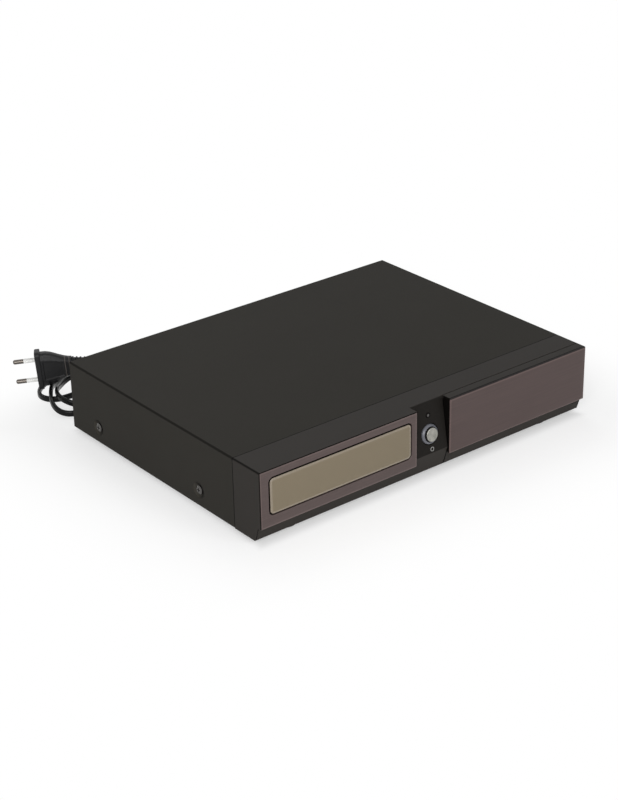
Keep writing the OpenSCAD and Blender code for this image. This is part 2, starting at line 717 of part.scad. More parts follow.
module display_tube() color("#3b4a4a") {
    along_y(tube_y, tube_y + tube_t) translate([window_x, window_z]) rounded(window_w - 12, window_h - 8, 1.5);
    along_x(window_x - window_w / 2 + 2, window_x - window_w / 2 + 7)
        translate([tube_y + tube_t / 2, window_z]) circle(1.6);
}

module display_holder() color(black) {
    along_y(tube_y + tube_t, front_board_y) difference() {
        translate([window_x, window_z]) rounded(window_w - 20, window_h - 10, 1.5);
        translate([window_x, window_z]) rounded(window_w - 26, window_h - 16, 1.5);
    }
}

module front_board() color(green) {
    x = front_board_x;
    z = front_board_z;
    block([x[0], front_board_y, z[0]], [x[1], front_board_y + board_t, z[1]]);
    block([ribbon_x - 4, front_board_y + board_t, z[0] + 3],
          [ribbon_x + ribbon_w + 4, front_board_y + board_t + ribbon_plug, z[0] + 3 + ribbon_plug]);
    for (px = [20, 40, 70])
        translate([x[0] + px, front_board_y + board_t, z[0] + 18]) cube([8, 2, 6]);
}

// Push switch on a board, its plunger towards -Y
module tact_switch(x, y, z) {
    translate([x - switch_side / 2, y - switch_t, z - switch_side / 2]) cube([switch_side, switch_t, switch_side]);
    bar_y(x, z, plunger_r, y - switch_t - plunger_h, y - switch_t + eps);
}

// Height where the button's tilted stem meets its switch
button_switch_z = button_at - (button_end - strip_at(button_at)) * tan(strip_lean);

module tact_switches() color("#4a4a4a") {
    tact_switch(strip_mid, front_board_y, button_switch_z);
    for (i = [0:key_count - 1]) tact_switch(key_x + i * key_pitch, key_board_y, key_z);
}

module key_board() color(green) {
    block([key_board_x[0], key_board_y, key_board_z[0]], [key_board_x[1], key_board_y + board_t, key_board_z[1]]);
}

module button_ring() color("#7b7c80") {
    on_strip(button_at) rotate_extrude() polygon([
        [button_hole / 2, -1.6], [ring_d / 2, -1.6], [ring_d / 2, 0.1], [ring_d / 2 - 0.4, 0.4],
        [button_hole / 2 + 0.4, ring_out], [button_hole / 2, ring_out - 0.3]]);
}

module power_button() color("silver") {
    cap_r = cap_d / 2;
    stem_r = 2;
    collar = mould_t + slip;
    end = (button_end - strip_at(button_at)) / cos(strip_lean);
    on_strip(button_at) rotate_extrude() polygon([
        [0, cap_out], [cap_r - 2.2, cap_out - 0.2], [cap_r - 0.7, cap_out - 0.6], [cap_r, cap_out - 1.2],
        [cap_r, -collar], [cap_r + 1.2, -collar], [cap_r + 1.2, -collar - 1], [stem_r, -collar - 1],
        [stem_r, -end], [0, -end]]);
}

module sensor_lens() color("#2a1f24") {
    on_strip(sensor_at) rotate_extrude() polygon([
        [0, 0.4], [sensor_d / 2 - 0.5, 0.3], [sensor_d / 2, 0], [sensor_d / 2, -mould_t], [sensor_d / 2 + 0.8, -mould_t - 0.2],
        [sensor_d / 2 + 0.8, -mould_t - 1.2], [0, -mould_t - 1.2]]);
}

module flap_outline() polygon(ease([
    [flap_y, z_top], [skin_y, z_top], [skin_y, panel_z], [sill_at(panel_z), panel_z],
    [sill_y, z_sill], [flap_y, z_sill]], [edge_r, 0, 0, 0, sill_r, 0]));

module flap_hollow() {
    inner = skin_y + flap_t;
    chin = chin_t * norm([nose_y - sill_y, nose_z - z_sill]) / (nose_z - z_sill);
    polygon([
        [flap_y + 9, z_top - flap_t], [inner, z_top - flap_t], [inner, panel_z + 2.6],
        [sill_at(panel_z + 1.2) + chin, panel_z + 1.2], [sill_at(z_sill + flap_t) + chin, z_sill + flap_t],
        [flap_y + 9, z_sill + flap_t]]);
}

module flap_carrier() color(black) {
    difference() {
        union() {
            difference() {
                intersection() {
                    along_x(flap_x, half_w) flap_outline();
                    front_outline(flap_x, edge_r);
                }
                along_x(flap_x + flap_t, half_w - flap_t) flap_hollow();
            }
            for (x = boss_xs) along_x(x, x + boss_w) {
                translate([hinge_y, hinge_z]) circle(boss_r);
                translate([sill_at(hinge_z) + 0.6, hinge_z - boss_r])
                    square([hinge_y - sill_at(hinge_z) - 0.6, 2 * boss_r]);
            }
        }
        for (x = boss_xs)
            translate([x - 1, hinge_y, hinge_z]) rotate([0, 90, 0])
                cylinder(r = pin_d / 2 + pin_clear, h = boss_w + 2);
    }
}

module flap_skin() color(brown) {
    intersection() {
        along_x(flap_x, half_w) polygon(ease(
            [[skin_y, panel_z], [skin_y, z_top], [y_front, z_top], [y_front, panel_z]], [0, 0, edge_r, edge_r]));
        front_plan(flap_x, skin_y);
        front_outline(flap_x, edge_r);
    }
}

module hinge_pins() color(zinc) {
    len = boss_w + slip + lug_w;
    for (x = [boss_xs[0], lug_xs[1]])
        translate([x, hinge_y, hinge_z]) rotate([0, 90, 0]) cylinder(r = pin_d / 2, h = len);
}

// Key number i in the row behind the flap: cap, collar behind the wall and plunger
module key(i) color("#2b2b2c") {
    collar = bay_in + slip;
    translate([key_x + i * key_pitch, 0, key_z]) {
        along_y(bay_y - key_out, collar + eps) rounded(key_w, key_h, 1.2);
        along_y(collar, collar + 1) rounded(key_w + 2, key_h + 2, 1.2);
    }
    bar_y(key_x + i * key_pitch, key_z, 1.5, collar,
          key_board_y - switch_t - plunger_h - key_travel - slip);
}

module channel_up_key() key(0);
module channel_down_key() key(1);
module volume_up_key() key(2);
module volume_down_key() key(3);
module menu_key() key(4);

cage_leg = [5, 6];

module module_cage() color(zinc) {
    difference() {
        union() {
            block([cage_x0, cage_front, cage_low], [cage_x1, cage_back, cage_top]);
            for (x = [cage_x0, cage_x1 - 2 * cage_leg.x], y = [main_y0 + 2 * cage_leg.y, cage_back - cage_leg.y])
                block([x, y, z_pcb], [x + cage_leg.x, y + cage_leg.y, cage_low + eps]);
        }
        for (k = [-1, 1]) translate([0, 0, slot_z + k * slot_pitch / 2]) {
            block([slot_x - slot_w / 2, cage_front - 1, -slot_h / 2], [slot_x + slot_w / 2, cage_front + slot_deep, slot_h / 2]);
            block([eject_x - eject_w / 2 - slip, cage_front - 1, -eject_h / 2 - slip],
                  [eject_x + eject_w / 2 + slip, cage_front + eject_len + 4, eject_h / 2 + slip]);
        }
        // Space between the two slots, open to the front and the left
        block([cage_x0 - 1, cage_front - 1, slot_z - slot_pitch / 2 + slot_h / 2 + cage_wall],
              [slot_x + slot_w / 2 - 3, cage_front + slot_deep, slot_z + slot_pitch / 2 - slot_h / 2 - cage_wall]);
    }
}

// Bar that pushes a module out, beside its slot
module eject_bar(k) color("#2b2b2c") {
    translate([eject_x, 0, slot_z + k * slot_pitch / 2])
        along_y(bay_y - eject_out, cage_front + eject_len - eject_travel) square([eject_w, eject_h], center = true);
}

module upper_eject() eject_bar(1);
module lower_eject() eject_bar(-1);

reader_t = 8;
reader_d = 60;
reader_post = 6;
card_deep = 50;

module card_reader() color("#303236") {
    x0 = card_x - card_w / 2 - reader_wall;
    x1 = card_x + card_w / 2 + reader_wall;
    y0 = bay_in + slip;
    difference() {
        union() {
            block([x0, y0, card_z - reader_t / 2], [x1, y0 + reader_d, card_z + reader_t / 2]);
            for (x = [x0 + reader_wall, x1 - reader_wall - reader_post])
                block([x, y0 + reader_d - 2 * reader_post, z_pcb],
                      [x + reader_post, y0 + reader_d, card_z - reader_t / 2 + eps]);
        }
        block([card_x - card_w / 2, y0 - 1, card_z - card_h / 2], [card_x + card_w / 2, y0 + card_deep, card_z + card_h / 2]);
    }
}

// Chips as [from the board's left edge, from its front edge, side], and cans as [.., .., radius, height]
chips = [[25, 79, 14], [25, 103, 14], [85, 69, 18], [165, 84, 20], [165, 115, 12]];
chip_t = 1.6;
cans = [[45, 127, 4, 11], [110, 127, 4, 11], [195, 127, 4, 11]];

module main_board() color(green) {
    difference() {
        union() {
            block([main_x0, main_y0, z_board], [main_x1, main_y1, z_pcb]);
            for (c = chips) translate([main_x0 + c[0], main_y0 + c[1], z_pcb]) cube([c[2], c[2], chip_t]);
            for (c = cans) translate([main_x0 + c[0], main_y0 + c[1], z_pcb]) cylinder(r = c[2], h = c[3]);
        }
        for (p = main_posts) translate([p.x, p.y, z_board - 1]) cylinder(r = thread_r + 0.3, h = board_t + 2);
    }
}

heatsink_in = [121, 70];
heatsink_at = [main_x0 + heatsink_in.x, main_y0 + heatsink_in.y];
heatsink_w = 38;
heatsink_base = 3;
fin_t = 1.4;
fin_h = 12;

module decoder_heatsink() color("#8d9093") {
    translate([heatsink_at.x, heatsink_at.y, z_pcb]) {
        cube([heatsink_w, heatsink_w, heatsink_base]);
        for (i = [0:9]) translate([i * (heatsink_w - fin_t) / 9, 0, heatsink_base - eps])
            cube([fin_t, heatsink_w, fin_h]);
    }
}

can_y = panel_back - slip;

module tuners() color(zinc) {
    for (x = tuner_xs)
        block([x - tuner_w / 2, can_y - tuner_d, z_pcb], [x + tuner_w / 2, can_y, z_pcb + tuner_h]);
}

module f_sockets() color("#c8c9c6") {
    for (x = f_xs) difference() {
        bar_y(x, f_z, f_d / 2, can_y, y_rear + jack_out);
        bar_y(x, f_z, f_d / 2 - f_cup[0], y_rear + jack_out - f_cup[1], y_rear + jack_out + 1);
    }
}

module f_nuts() color("#c8c9c6") {
    for (x = f_xs) difference() {
        translate([x, panel_out, f_z]) rotate([-90, 0, 0]) cylinder(r = nut_r, h = nut_t, $fn = 6);
        bar_y(x, f_z, f_d / 2 + 0.02, panel_out - 1, panel_out + nut_t + 1);
    }
}

module scart_block() color(black) {
    front = panel_out + scart_out;
    difference() {
        union() {
            block([scart_x - scart_w / 2, can_y - scart_d, z_pcb], [scart_x + scart_w / 2, can_y, z_pcb + scart_h]);
            for (z = scart_zs) along_y(can_y - eps, front) translate([scart_x, z]) scart_outline(0);
        }
        for (z = scart_zs) {
            along_y(front - scart_slit[1], front + 1) translate([scart_x, z]) difference() {
                scart_outline(-scart_wall);
                scart_outline(-scart_wall - scart_slit[0]);
            }
            for (i = [0:9], row = [-1, 1])
                translate([scart_x + (i - 4.5 - row / 4) * contact_pitch - contact_slit.x / 2,
                           front - contact_slit.y, z + (row - 0.5) * contact_slit.z])
                    cube([contact_slit.x, contact_slit.y + 1, contact_slit.z]);
        }
    }
}

module phono_block() color(black) {
    block([phono_x - phono_w / 2, can_y - phono_d_in, z_pcb], [phono_x + phono_w / 2, can_y, z_pcb + 2 * phono_pitch + 2 * phono_first]);
    for (x = phono_xs, z = phono_zs) difference() {
        bar_y(x, z, collar_r, can_y - eps, panel_out + collar_out);
        bar_y(x, z, phono_d / 2 + 0.02, panel_out, panel_out + collar_out + 1);
    }
}

module phono_jacks() color("#d0cfca") {
    for (x = phono_xs, z = phono_zs) difference() {
        bar_y(x, z, phono_d / 2, panel_out, panel_out + phono_out);
        bar_y(x, z, 1.7, panel_out + 1, panel_out + phono_out + 1);
    }
}

module hdmi_socket() color("#c0c2c4") {
    w = hdmi_size.x / 2;
    h = hdmi_size.y / 2;
    translate([hdmi_x, 0, hdmi_z]) {
        difference() {
            block([-w, panel_out + small_out - small_d, -h], [w, panel_out + small_out, h]);
            along_y(panel_out + small_out - 9, panel_out + small_out + 1)
                polygon([[-w + 0.7, h - 0.7], [w - 0.7, h - 0.7], [w - 0.7, -h + 2.2], [w - 2.2, -h + 0.7],
                         [-w + 2.2, -h + 0.7], [-w + 0.7, -h + 2.2]]);
        }
        block([-w + 2.4, panel_out + small_out - 9 - eps, -0.4], [w - 2.4, panel_out + small_out - 1.5, 0.9]);
        for (s = [-1, 1]) block([s * 4 - 1, panel_out + small_out - small_d + 3, z_pcb - hdmi_z],
                                [s * 4 + 1, panel_out + small_out - small_d + 6, -h + eps]);
    }
}

module optical_socket() color("#202020") {
    w = optical_size.x / 2;
    h = optical_size.y / 2;
    translate([optical_x, 0, optical_z]) difference() {
        union() {
            block([-w, panel_out + small_out - small_d, -h], [w, panel_out + small_out, h]);
            block([-w + 2, panel_out + small_out - small_d, z_pcb - optical_z], [w - 2, panel_out - 4, -h + eps]);
        }
        block([-3, panel_out + small_out - 2, -3], [3, panel_out + small_out + 1, 3]);
    }
}

network_port = [11.9, 8.2, 12];

module network_socket() color("#b4b6b8") {
    w = network_size.x / 2;
    h = network_size.y / 2;
    front = panel_out + small_out;
    translate([network_x, 0, network_z]) difference() {
        union() {
            block([-w, front - small_d, -h], [w, front, h]);
            block([-w + 2, front - small_d, z_pcb - network_z], [w - 2, front - 6, -h + eps]);
        }
        block([-network_port.x / 2, front - network_port.z, -network_port.y / 2],
              [network_port.x / 2, front + 1, network_port.y / 2]);
        block([-3, front - network_port.z, -h + 1], [3, front + 1, 0]);
    }
}

// Power supply pieces, each placed from the board's left front corner
loom_plug = [8, 24, 9];
loom_in = 16;
inlet_plug = [12, 14, 12];
inlet_in = 34;
reservoir = [5, 20];
transformer_size = [34, 28, 24];
transformer_in = [14, 52];
bobbin_r = 12;
core_t = 10;
base_t = 4;
capacitor_r = 10.5;
capacitor_h = 30;
capacitor_in = [16, 26];
sink_size = [2.5, 38, 32];
sink_in = [4, 50];
sink_fin = [6, 1.5];

module power_board() color("#8a6b3a") {
    difference() {
        union() {
            block([power_x0, power_y0, z_board], [power_x1, power_y1, z_pcb]);
            for (i = [0:2])
                translate([power_x0 + transformer_in.x + reservoir[0] * (1 + 2.6 * i),
                           power_y0 + transformer_in.y + transformer_size.y + 3 * reservoir[0], z_pcb])
                    cylinder(r = reservoir[0], h = reservoir[1]);
            block([power_x0 + inlet_in, power_y1 - inlet_plug.y, z_pcb],
                  [power_x0 + inlet_in + inlet_plug.x, power_y1, z_pcb + inlet_plug.z]);
            block([power_x1 - loom_plug.x, power_y0 + loom_in, z_pcb],
                  [power_x1, power_y0 + loom_in + loom_plug.y, z_pcb + loom_plug.z]);
        }
        for (p = power_posts) translate([p.x, p.y, z_board - 1]) cylinder(r = thread_r + 0.3, h = board_t + 2);
    }
}

module power_transformer() color("#c9a84a") {
    s = transformer_size;
    translate([power_x0 + transformer_in.x, power_y0 + transformer_in.y, z_pcb]) {
        cube([s.x, s.y, base_t]);
        translate([0, (s.y - core_t) / 2, base_t - eps]) cube([s.x, core_t, s.z - base_t]);
        translate([s.x / 2, s.y / 2, base_t - eps]) cylinder(r = bobbin_r, h = s.z - base_t * 1.75);
    }
}

module bulk_capacitor() color("#22262e") {
    translate([power_x0 + capacitor_in.x, power_y0 + capacitor_in.y, z_pcb]) {
        cylinder(r = capacitor_r, h = capacitor_h);
        translate([0, 0, capacitor_h - eps]) cylinder(r1 = capacitor_r, r2 = capacitor_r * 0.88, h = capacitor_h / 25);
    }
}

module power_heatsink() color("#8d9093") {
    translate([power_x0 + sink_in.x, power_y0 + sink_in.y, z_pcb]) {
        cube(sink_size);
        for (i = [0:3])
            translate([sink_size.x - eps, i * (sink_size.y - sink_fin.y) / 3, 0]) cube([sink_fin.x, sink_fin.y, sink_size.z]);
    }
}

module rocker_outline() polygon([
    [-1, -rocker_h], [4.2, -rocker_h], [2.4, 0], [4.2, rocker_h], [-1, rocker_h], [-5, 4], [-5, -4]]);

module switch_body() color(black) {
    w = switch_hole.x / 2;
    h = switch_hole.y / 2;
    cavity_w = rocker_w / 2 + slip;
    cavity_h = rocker_h + 1.1;
    translate([switch_x, 0, switch_z]) difference() {
        union() {
            along_y(panel_out, panel_out + switch_rim) rounded(switch_hole.x + 3, switch_hole.y + 3, 1.5);
            block([-w, panel_out - switch_deep, -h], [w, panel_out + eps, h]);
            for (z = [-5, 0, 5]) block([-3, panel_out - switch_deep - 8, z - 0.4], [3, panel_out - switch_deep + eps, z + 0.4]);
        }
        block([-cavity_w, pivot_y - 6.4, -cavity_h], [cavity_w, panel_out + switch_rim + 1, cavity_h]);
        for (s = [-1, 1]) translate([s > 0 ? cavity_w - eps : -cavity_w - 2, pivot_y, 0])
            rotate([0, 90, 0]) cylinder(r = pivot_r + pin_clear, h = 2 + eps);
    }
}

module switch_rocker() color("#262626") {
    translate([switch_x, pivot_y, switch_z]) rotate([rocker_tilt, 0, 0]) {
        along_x(-rocker_w / 2, rocker_w / 2) rocker_outline();
        translate([-rocker_w / 2 - slip - 1.8, 0, 0]) rotate([0, 90, 0])
            cylinder(r = pivot_r, h = rocker_w + 2 * slip + 3.6);
    }
}

ribbon_t = 0.8;

module front_ribbon() color("#9aa0a6") {
    y0 = front_board_y + board_t + ribbon_plug;
    z0 = front_board_z[0] + ribbon_plug;
    y1 = main_y0 + 4;
    along_x(ribbon_x, ribbon_x + ribbon_w) polygon([
        [y0, z0 - ribbon_t], [y0 + 6, z0 - ribbon_t], [y1, z_pcb], [y1 + 6, z_pcb], [y1 + 6, z_pcb + ribbon_t],
        [y1, z_pcb + ribbon_t], [y0 + 6, z0], [y0, z0]]);
}

module power_loom() color("#9aa0a6") {
    x0 = power_x1;
    x1 = main_x0 + 4;
    y0 = power_y0 + loom_in + 2;
    along_y(y0, y0 + loom_plug.y - 4) polygon([
        [x0, z_pcb + 6], [x0 + 3, z_pcb + 6], [x1, z_pcb], [x1 + 4, z_pcb], [x1 + 4, z_pcb + ribbon_t],
        [x1, z_pcb + ribbon_t], [x0 + 3, z_pcb + 6 + ribbon_t], [x0, z_pcb + 6 + ribbon_t]]);
}

module cover_screws() color(black) {
    at_side_screws() translate([0, 0, -dimple_deep]) screw(3.6, 1.5, thread_r, 3);
}

module board_screws() color(zinc) {
    for (p = concat(main_posts, power_posts)) translate([p.x, p.y, z_pcb]) screw(2.8, 1.6, thread_r, 6);
}

module base_screws() color(black) {
    for (x = lip_screw_xs)
        translate([x, panel_back - lip_d / 2, z_base]) rotate([180, 0, 0]) screw(2.8, 1.6, thread_r, 2 * sheet_t + 1);
}

module bezel_screws() color(zinc) {
    for (x = bezel_post_xs)
        translate([x, tray_front + sheet_t, bezel_post_z]) rotate([-90, 0, 0]) screw(2.8, 1.6, thread_r, 6);
}

// Rubber foot of height h under a wall of thickness t, with a spigot up through the wall
module foot(h, t) {
    r = foot_d / 2;
    rotate_extrude() polygon([
        [0, 0], [r - 0.6, 0], [r, 0.6], [r, h - 1.8], [r - 1.8, h], [spigot_r, h],
        [spigot_r, h + t + spigot_up - 0.6], [spigot_r - 0.6, h + t + spigot_up], [0, h + t + spigot_up]]);
}

module feet() color("#161616") {
    at_feet(foot_front) foot(z_sill, mould_t);
    at_feet(foot_rear) foot(z_base, sheet_t);
}

module cord_bush() color(black) {
    step = (bush_out - 5) / 6;
    translate([bush_x, panel_out, bush_z]) rotate([-90, 0, 0]) rotate_extrude() polygon(concat(
        [[0, -6], [bush_r[0], -6], [bush_r[0], -sheet_t], [bush_r[1], -sheet_t], [bush_r[1], 0], [bush_r[0], 0],
         [bush_r[0], 2], [bush_r[1], 2.6]],
        [for (i = [0:5]) let (r = bush_r[1] + (bush_r[2] - bush_r[1]) * i / 5, y = 3 + i * step)
            each [[r, y], [r, y + step * 0.62], [r - 0.6, y + step * 0.72], [r - 0.6, y + step * 0.9]]],
        [[bush_r[2], bush_out - 2], [bush_r[2], bush_out], [0, bush_out]]));
}

// Points of a lead's section round p, its width kept as upright as the route allows
function section(p, t, sides) =
    let (up = [0, 0, 1], w0 = up - (up * t) * t, w = w0 / norm(w0), n = cross(t, w))
    [for (k = [0:sides - 1]) p + w * (cord_w / 2) * cos(360 * k / sides) + n * (cord_t / 2) * sin(360 * k / sides)];

function direction(a, b) = (b - a) / norm(b - a);

// Rings of points along a route, each square to the route there
function rings(route, sides) = let (last = len(route) - 1)
    [for (i = [0:last]) section(route[i], direction(route[max(i - 1, 0)], route[min(i + 1, last)]), sides)];

// Closed tube through the rings, in triangles
module tube(route, sides) {
    r = rings(route, sides);
    last = len(route) - 1;
    polyhedron(
        points = [for (ring = r) each ring],
        faces = concat(
            [for (i = [0:last - 1], k = [0:sides - 1])
                let (a = i * sides + k, b = i * sides + (k + 1) % sides)
                each [[a, a + sides, b + sides], [a, b + sides, b]]],
            [for (k = [1:sides - 2]) [0, k, k + 1]],
            [for (k = [1:sides - 2]) [last * sides, last * sides + k + 1, last * sides + k]]));
}

function behind(points) = [for (p = points) [bush_x + p.x, y_rear + p.y, cord_z + p.z]];

// The coil spirals in on the floor, climbs in the half turn where it reverses, and spirals out on top
coil_steps = 24;
coil_span = 360 * coil_turns;
coil_out = coil_span - 90;
function smooth(t) = let (c = min(max(t, 0), 1)) c * c * (3 - 2 * c);
function coil_point(a) =
    let (r = coil_r - coil_pitch * min(a, coil_span - a) / 360,
         z = tie_t + coil_rise * smooth((a - coil_span / 2 + 90) / 180))
    [coil_x + r * cos(a - 90), coil_y + r * sin(a - 90), z];
coil_end = coil_point(coil_span) + cord_w * [-sin(coil_out), cos(coil_out), 0];
coil_route = concat(
    [[coil_x - cord_w, coil_y - coil_r, tie_t]],
    [for (i = [0:coil_turns * coil_steps]) coil_point(i * 360 / coil_steps)],
    [coil_end]);

// Least distance between the coil's own surface points, half a turn or more apart along it
module measure_coil() {
    r = rings(coil_route, 6);
    apart = coil_steps / 2;
    gaps = [for (i = [0:len(r) - 1 - apart], j = [i + apart:len(r) - 1])
        if (norm(coil_route[i] - coil_route[j]) < 2 * cord_w) min([for (p = r[i], q = r[j]) norm(p - q)])];
    echo(coil_least_gap = min(gaps));
}

module cord_lead() color(black) tube(behind(lead_points), 8);

module cord_coil() color(black) {
    measure_coil();
    tube(behind(coil_route), 6);
}

module cord_tail() color(black) tube(behind(concat([coil_end], tail_points)), 8);

// The plug stands on its narrow edge: pin face at x = 0, body towards +X before it is turned into its place
module at_plug() {
    translate([bush_x, y_rear, 0] + plug_at) rotate([0, -plug_tip, -plug_turn]) children();
}

// Half outline of the ribbed relief, which narrows from half width a to b
relief_x = flange_t + plug_len;
rib_count = 6;
rib_pitch = plug_relief / rib_count;
rib_deep = 0.9;
function ribs(a, b) = concat([[relief_x - eps, a]],
    [for (i = [0:rib_count - 1]) let (r = a + (b - a) * i / (rib_count - 1), x = relief_x + i * rib_pitch)
        each [[x + 0.1, r], [x + rib_pitch * 0.55, r], [x + rib_pitch * 0.65, r - rib_deep],
              [x + rib_pitch * 0.95, r - rib_deep]]],
    [[relief_x + plug_relief, b - rib_deep]]);

// Outline on both sides of the X axis from the half outline given
function both_sides(half) = concat(
    [for (p = half) [p.x, -p.y]], [for (i = [len(half) - 1:-1:0]) half[i]]);

module plug_body() color(black) {
    side = [for (p = plug_sides) [flange_t + p.x - eps, p.y]];
    neck_t = 4.6;
    at_plug() {
        along_x(0, flange_t) rotate(90) rounded(plug_w, plug_t, plug_t * 0.42);
        intersection() {
            along_y(-plug_t, plug_t) polygon(both_sides(side));
            translate([0, 0, -plug_w]) linear_extrude(2 * plug_w)
                polygon(both_sides([[flange_t - eps, plug_t / 2 - 0.8], [relief_x, neck_t]]));
        }
        intersection() {
            along_y(-plug_t, plug_t) polygon(both_sides(ribs(8, 5.6)));
            translate([0, 0, -plug_w]) linear_extrude(2 * plug_w) polygon(both_sides(ribs(neck_t, 3.6)));
        }
    }
}

// Places children at the root of each pin, with +Z along the pin
module at_pins() {
    at_plug() for (s = [-1, 1])
        translate([0, 0, s * pin_span / 2]) rotate([0, -90, 0]) children();
}

module plug_pins() color("silver") {
    at_pins() {
        cylinder(r = prong_r - 0.3, h = sleeve_len + eps);
        translate([0, 0, sleeve_len]) cylinder(r = prong_r, h = prong_len - sleeve_len - prong_r * 0.5);
        translate([0, 0, prong_len - prong_r * 0.5 - eps]) cylinder(r1 = prong_r, r2 = prong_r * 0.6, h = prong_r * 0.5);
    }
}

module pin_sleeves() color("#d9d9d2") {
    at_pins() difference() {
        cylinder(r = prong_r - 0.05, h = sleeve_len);
        translate([0, 0, -1]) cylinder(r = prong_r - 0.28, h = sleeve_len + 2);
    }
}

bottom_tray();
wrap_cover();
rear_panel();
front_bezel();
display_panel();
display_lens();
display_tube();
display_holder();
front_board();
tact_switches();
key_board();
button_ring();
power_button();
sensor_lens();
flap_carrier();
flap_skin();
hinge_pins();
channel_up_key();
channel_down_key();
volume_up_key();
volume_down_key();
menu_key();
module_cage();
upper_eject();
lower_eject();
card_reader();
main_board();
decoder_heatsink();
tuners();
f_sockets();
f_nuts();
scart_block();
phono_block();
phono_jacks();
hdmi_socket();
optical_socket();
network_socket();
power_board();
power_transformer();
bulk_capacitor();
power_heatsink();
switch_body();
switch_rocker();
front_ribbon();
power_loom();
cover_screws();
board_screws();
base_screws();
bezel_screws();
feet();
cord_bush();
cord_lead();
cord_coil();
cord_tail();
plug_body();
plug_pins();
pin_sleeves();
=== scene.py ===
"""Television decoder box: finishes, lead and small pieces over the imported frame, with camera and light."""
import json
import math

import bmesh
import bpy
import numpy as np
from mathutils import Matrix, Vector


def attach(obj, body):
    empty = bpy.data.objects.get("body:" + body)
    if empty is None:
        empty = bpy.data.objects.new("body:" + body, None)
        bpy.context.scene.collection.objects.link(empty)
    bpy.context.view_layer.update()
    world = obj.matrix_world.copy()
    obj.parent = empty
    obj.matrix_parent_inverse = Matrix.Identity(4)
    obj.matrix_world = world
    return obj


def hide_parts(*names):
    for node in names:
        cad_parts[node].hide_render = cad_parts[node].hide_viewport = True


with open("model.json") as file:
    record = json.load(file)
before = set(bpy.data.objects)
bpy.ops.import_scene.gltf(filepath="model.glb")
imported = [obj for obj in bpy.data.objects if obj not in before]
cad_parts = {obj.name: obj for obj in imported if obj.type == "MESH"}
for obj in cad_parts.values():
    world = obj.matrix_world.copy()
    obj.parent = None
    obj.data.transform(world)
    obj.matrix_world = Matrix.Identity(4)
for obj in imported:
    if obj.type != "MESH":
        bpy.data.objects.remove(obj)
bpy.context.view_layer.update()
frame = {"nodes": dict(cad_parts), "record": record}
nodes = frame["nodes"]

# Sizes repeated from the part's source, in millimetres
MM = 0.001
Y_FRONT = -132.5
Y_REAR = 123.5
PANEL_OUT = 122.3
SOCKET_FRONT = PANEL_OUT + 1
Y_SEAM = -100.35
Z_TOP = 63
HALF_W = 170
BEND_R = 1.6
STRIP_MID = 0.8
STRIP_W = 34
STRIP_NOSE = np.array([STRIP_MID, Y_FRONT + 1.5, 20.6])
STRIP_TOP = np.array([STRIP_MID, Y_FRONT + 8.3, Z_TOP])
PANEL_BOX = (-168.9, -15.8, 14.8, 62.1)
WINDOW_BOX = (-160.9, -20.9, 23.6, 55.6)
WINDOW_R = 4.5
FLAP_BOX = (18.3, 170, 14.8, 63)
GAP_X = 17.95
SCREW_MID = 15.5
SCREW_HALF = 70
SCREW_Z = 17
BUSH = np.array([-85, Y_REAR, 0])
BUSH_Z = 14


# Camera at the photograph's view, from a fit of the case's corners in the part's own frame

CAMERA_LENS = 84.54
CAMERA_SHIFT = -0.0036
CAMERA_NEAR = 0.05
CAMERA_FAR = 30
CAMERA_AT = (-0.88259, -1.09897, 0.70665)
CAMERA_TURN = Matrix(((0.77883, 0.28736, -0.55754),
                      (-0.62695, 0.32964, -0.70589),
                      (-0.01905, 0.89931, 0.43689)))


def set_camera():
    """Makes the camera, with its lens and its middle moved as in the fit."""
    data = bpy.data.cameras.new("photo_view")
    data.sensor_width = 36
    data.lens = CAMERA_LENS
    data.shift_x = CAMERA_SHIFT
    data.shift_y = CAMERA_SHIFT
    data.clip_start = CAMERA_NEAR
    data.clip_end = CAMERA_FAR
    camera = bpy.data.objects.new("photo_view", data)
    camera.matrix_world = Matrix.Translation(CAMERA_AT) @ CAMERA_TURN.to_4x4()
    bpy.context.scene.collection.objects.link(camera)
    bpy.context.scene.camera = camera


set_camera()


# Nodes of the finishes

NOISE_LOW = 0.3
NOISE_HIGH = 0.7
MOTTLE_WAVES = 18


def tone(red, green, blue):
    """Screen colour 0 to 255 as linear light."""
    share = np.array([red, green, blue]) / 255
    return np.where(share <= 0.04045, share / 12.92, ((share + 0.055) / 1.055) ** 2.4)


def reckon(tree, operation, first, second=0.0):
    """Output of a math node on two sockets or numbers."""
    node = tree.nodes.new("ShaderNodeMath")
    node.operation = operation
    for socket, value in zip(node.inputs, (first, second)):
        if isinstance(value, (int, float)):
            socket.default_value = value
        else:
            tree.links.new(value, socket)
    return node.outputs[0]


def product(tree, first, *others):
    """Product of sockets or numbers."""
    for value in others:
        first = reckon(tree, "MULTIPLY", first, value)
    return first


def map_range(tree, value, start, end, low, high):
    """Node that runs a value from low at start to high at end, and holds it outside them."""
    node = tree.nodes.new("ShaderNodeMapRange")
    for key, number in (("From Min", start), ("From Max", end), ("To Min", low), ("To Max", high)):
        node.inputs[key].default_value = number
    tree.links.new(value, node.inputs["Value"])
    return node


def fade(tree, value, start, end, low, high):
    """Smooth step of a value from low at start to high at end, start and end in millimetres."""
    node = map_range(tree, value, start * MM, end * MM, low, high)
    node.interpolation_type = "SMOOTHSTEP"
    return node.outputs["Result"]


def distance(tree, axis, middle):
    """How far a point lies from the middle along one axis, middle in millimetres."""
    return reckon(tree, "ABSOLUTE", reckon(tree, "SUBTRACT", axis, middle * MM))


def object_axes(tree):
    """The x, y and z outputs of the piece's own coordinates."""
    where = tree.nodes.new("ShaderNodeTexCoord")
    axes = tree.nodes.new("ShaderNodeSeparateXYZ")
    tree.links.new(where.outputs["Object"], axes.inputs[0])
    return axes.outputs["X"], axes.outputs["Y"], axes.outputs["Z"]


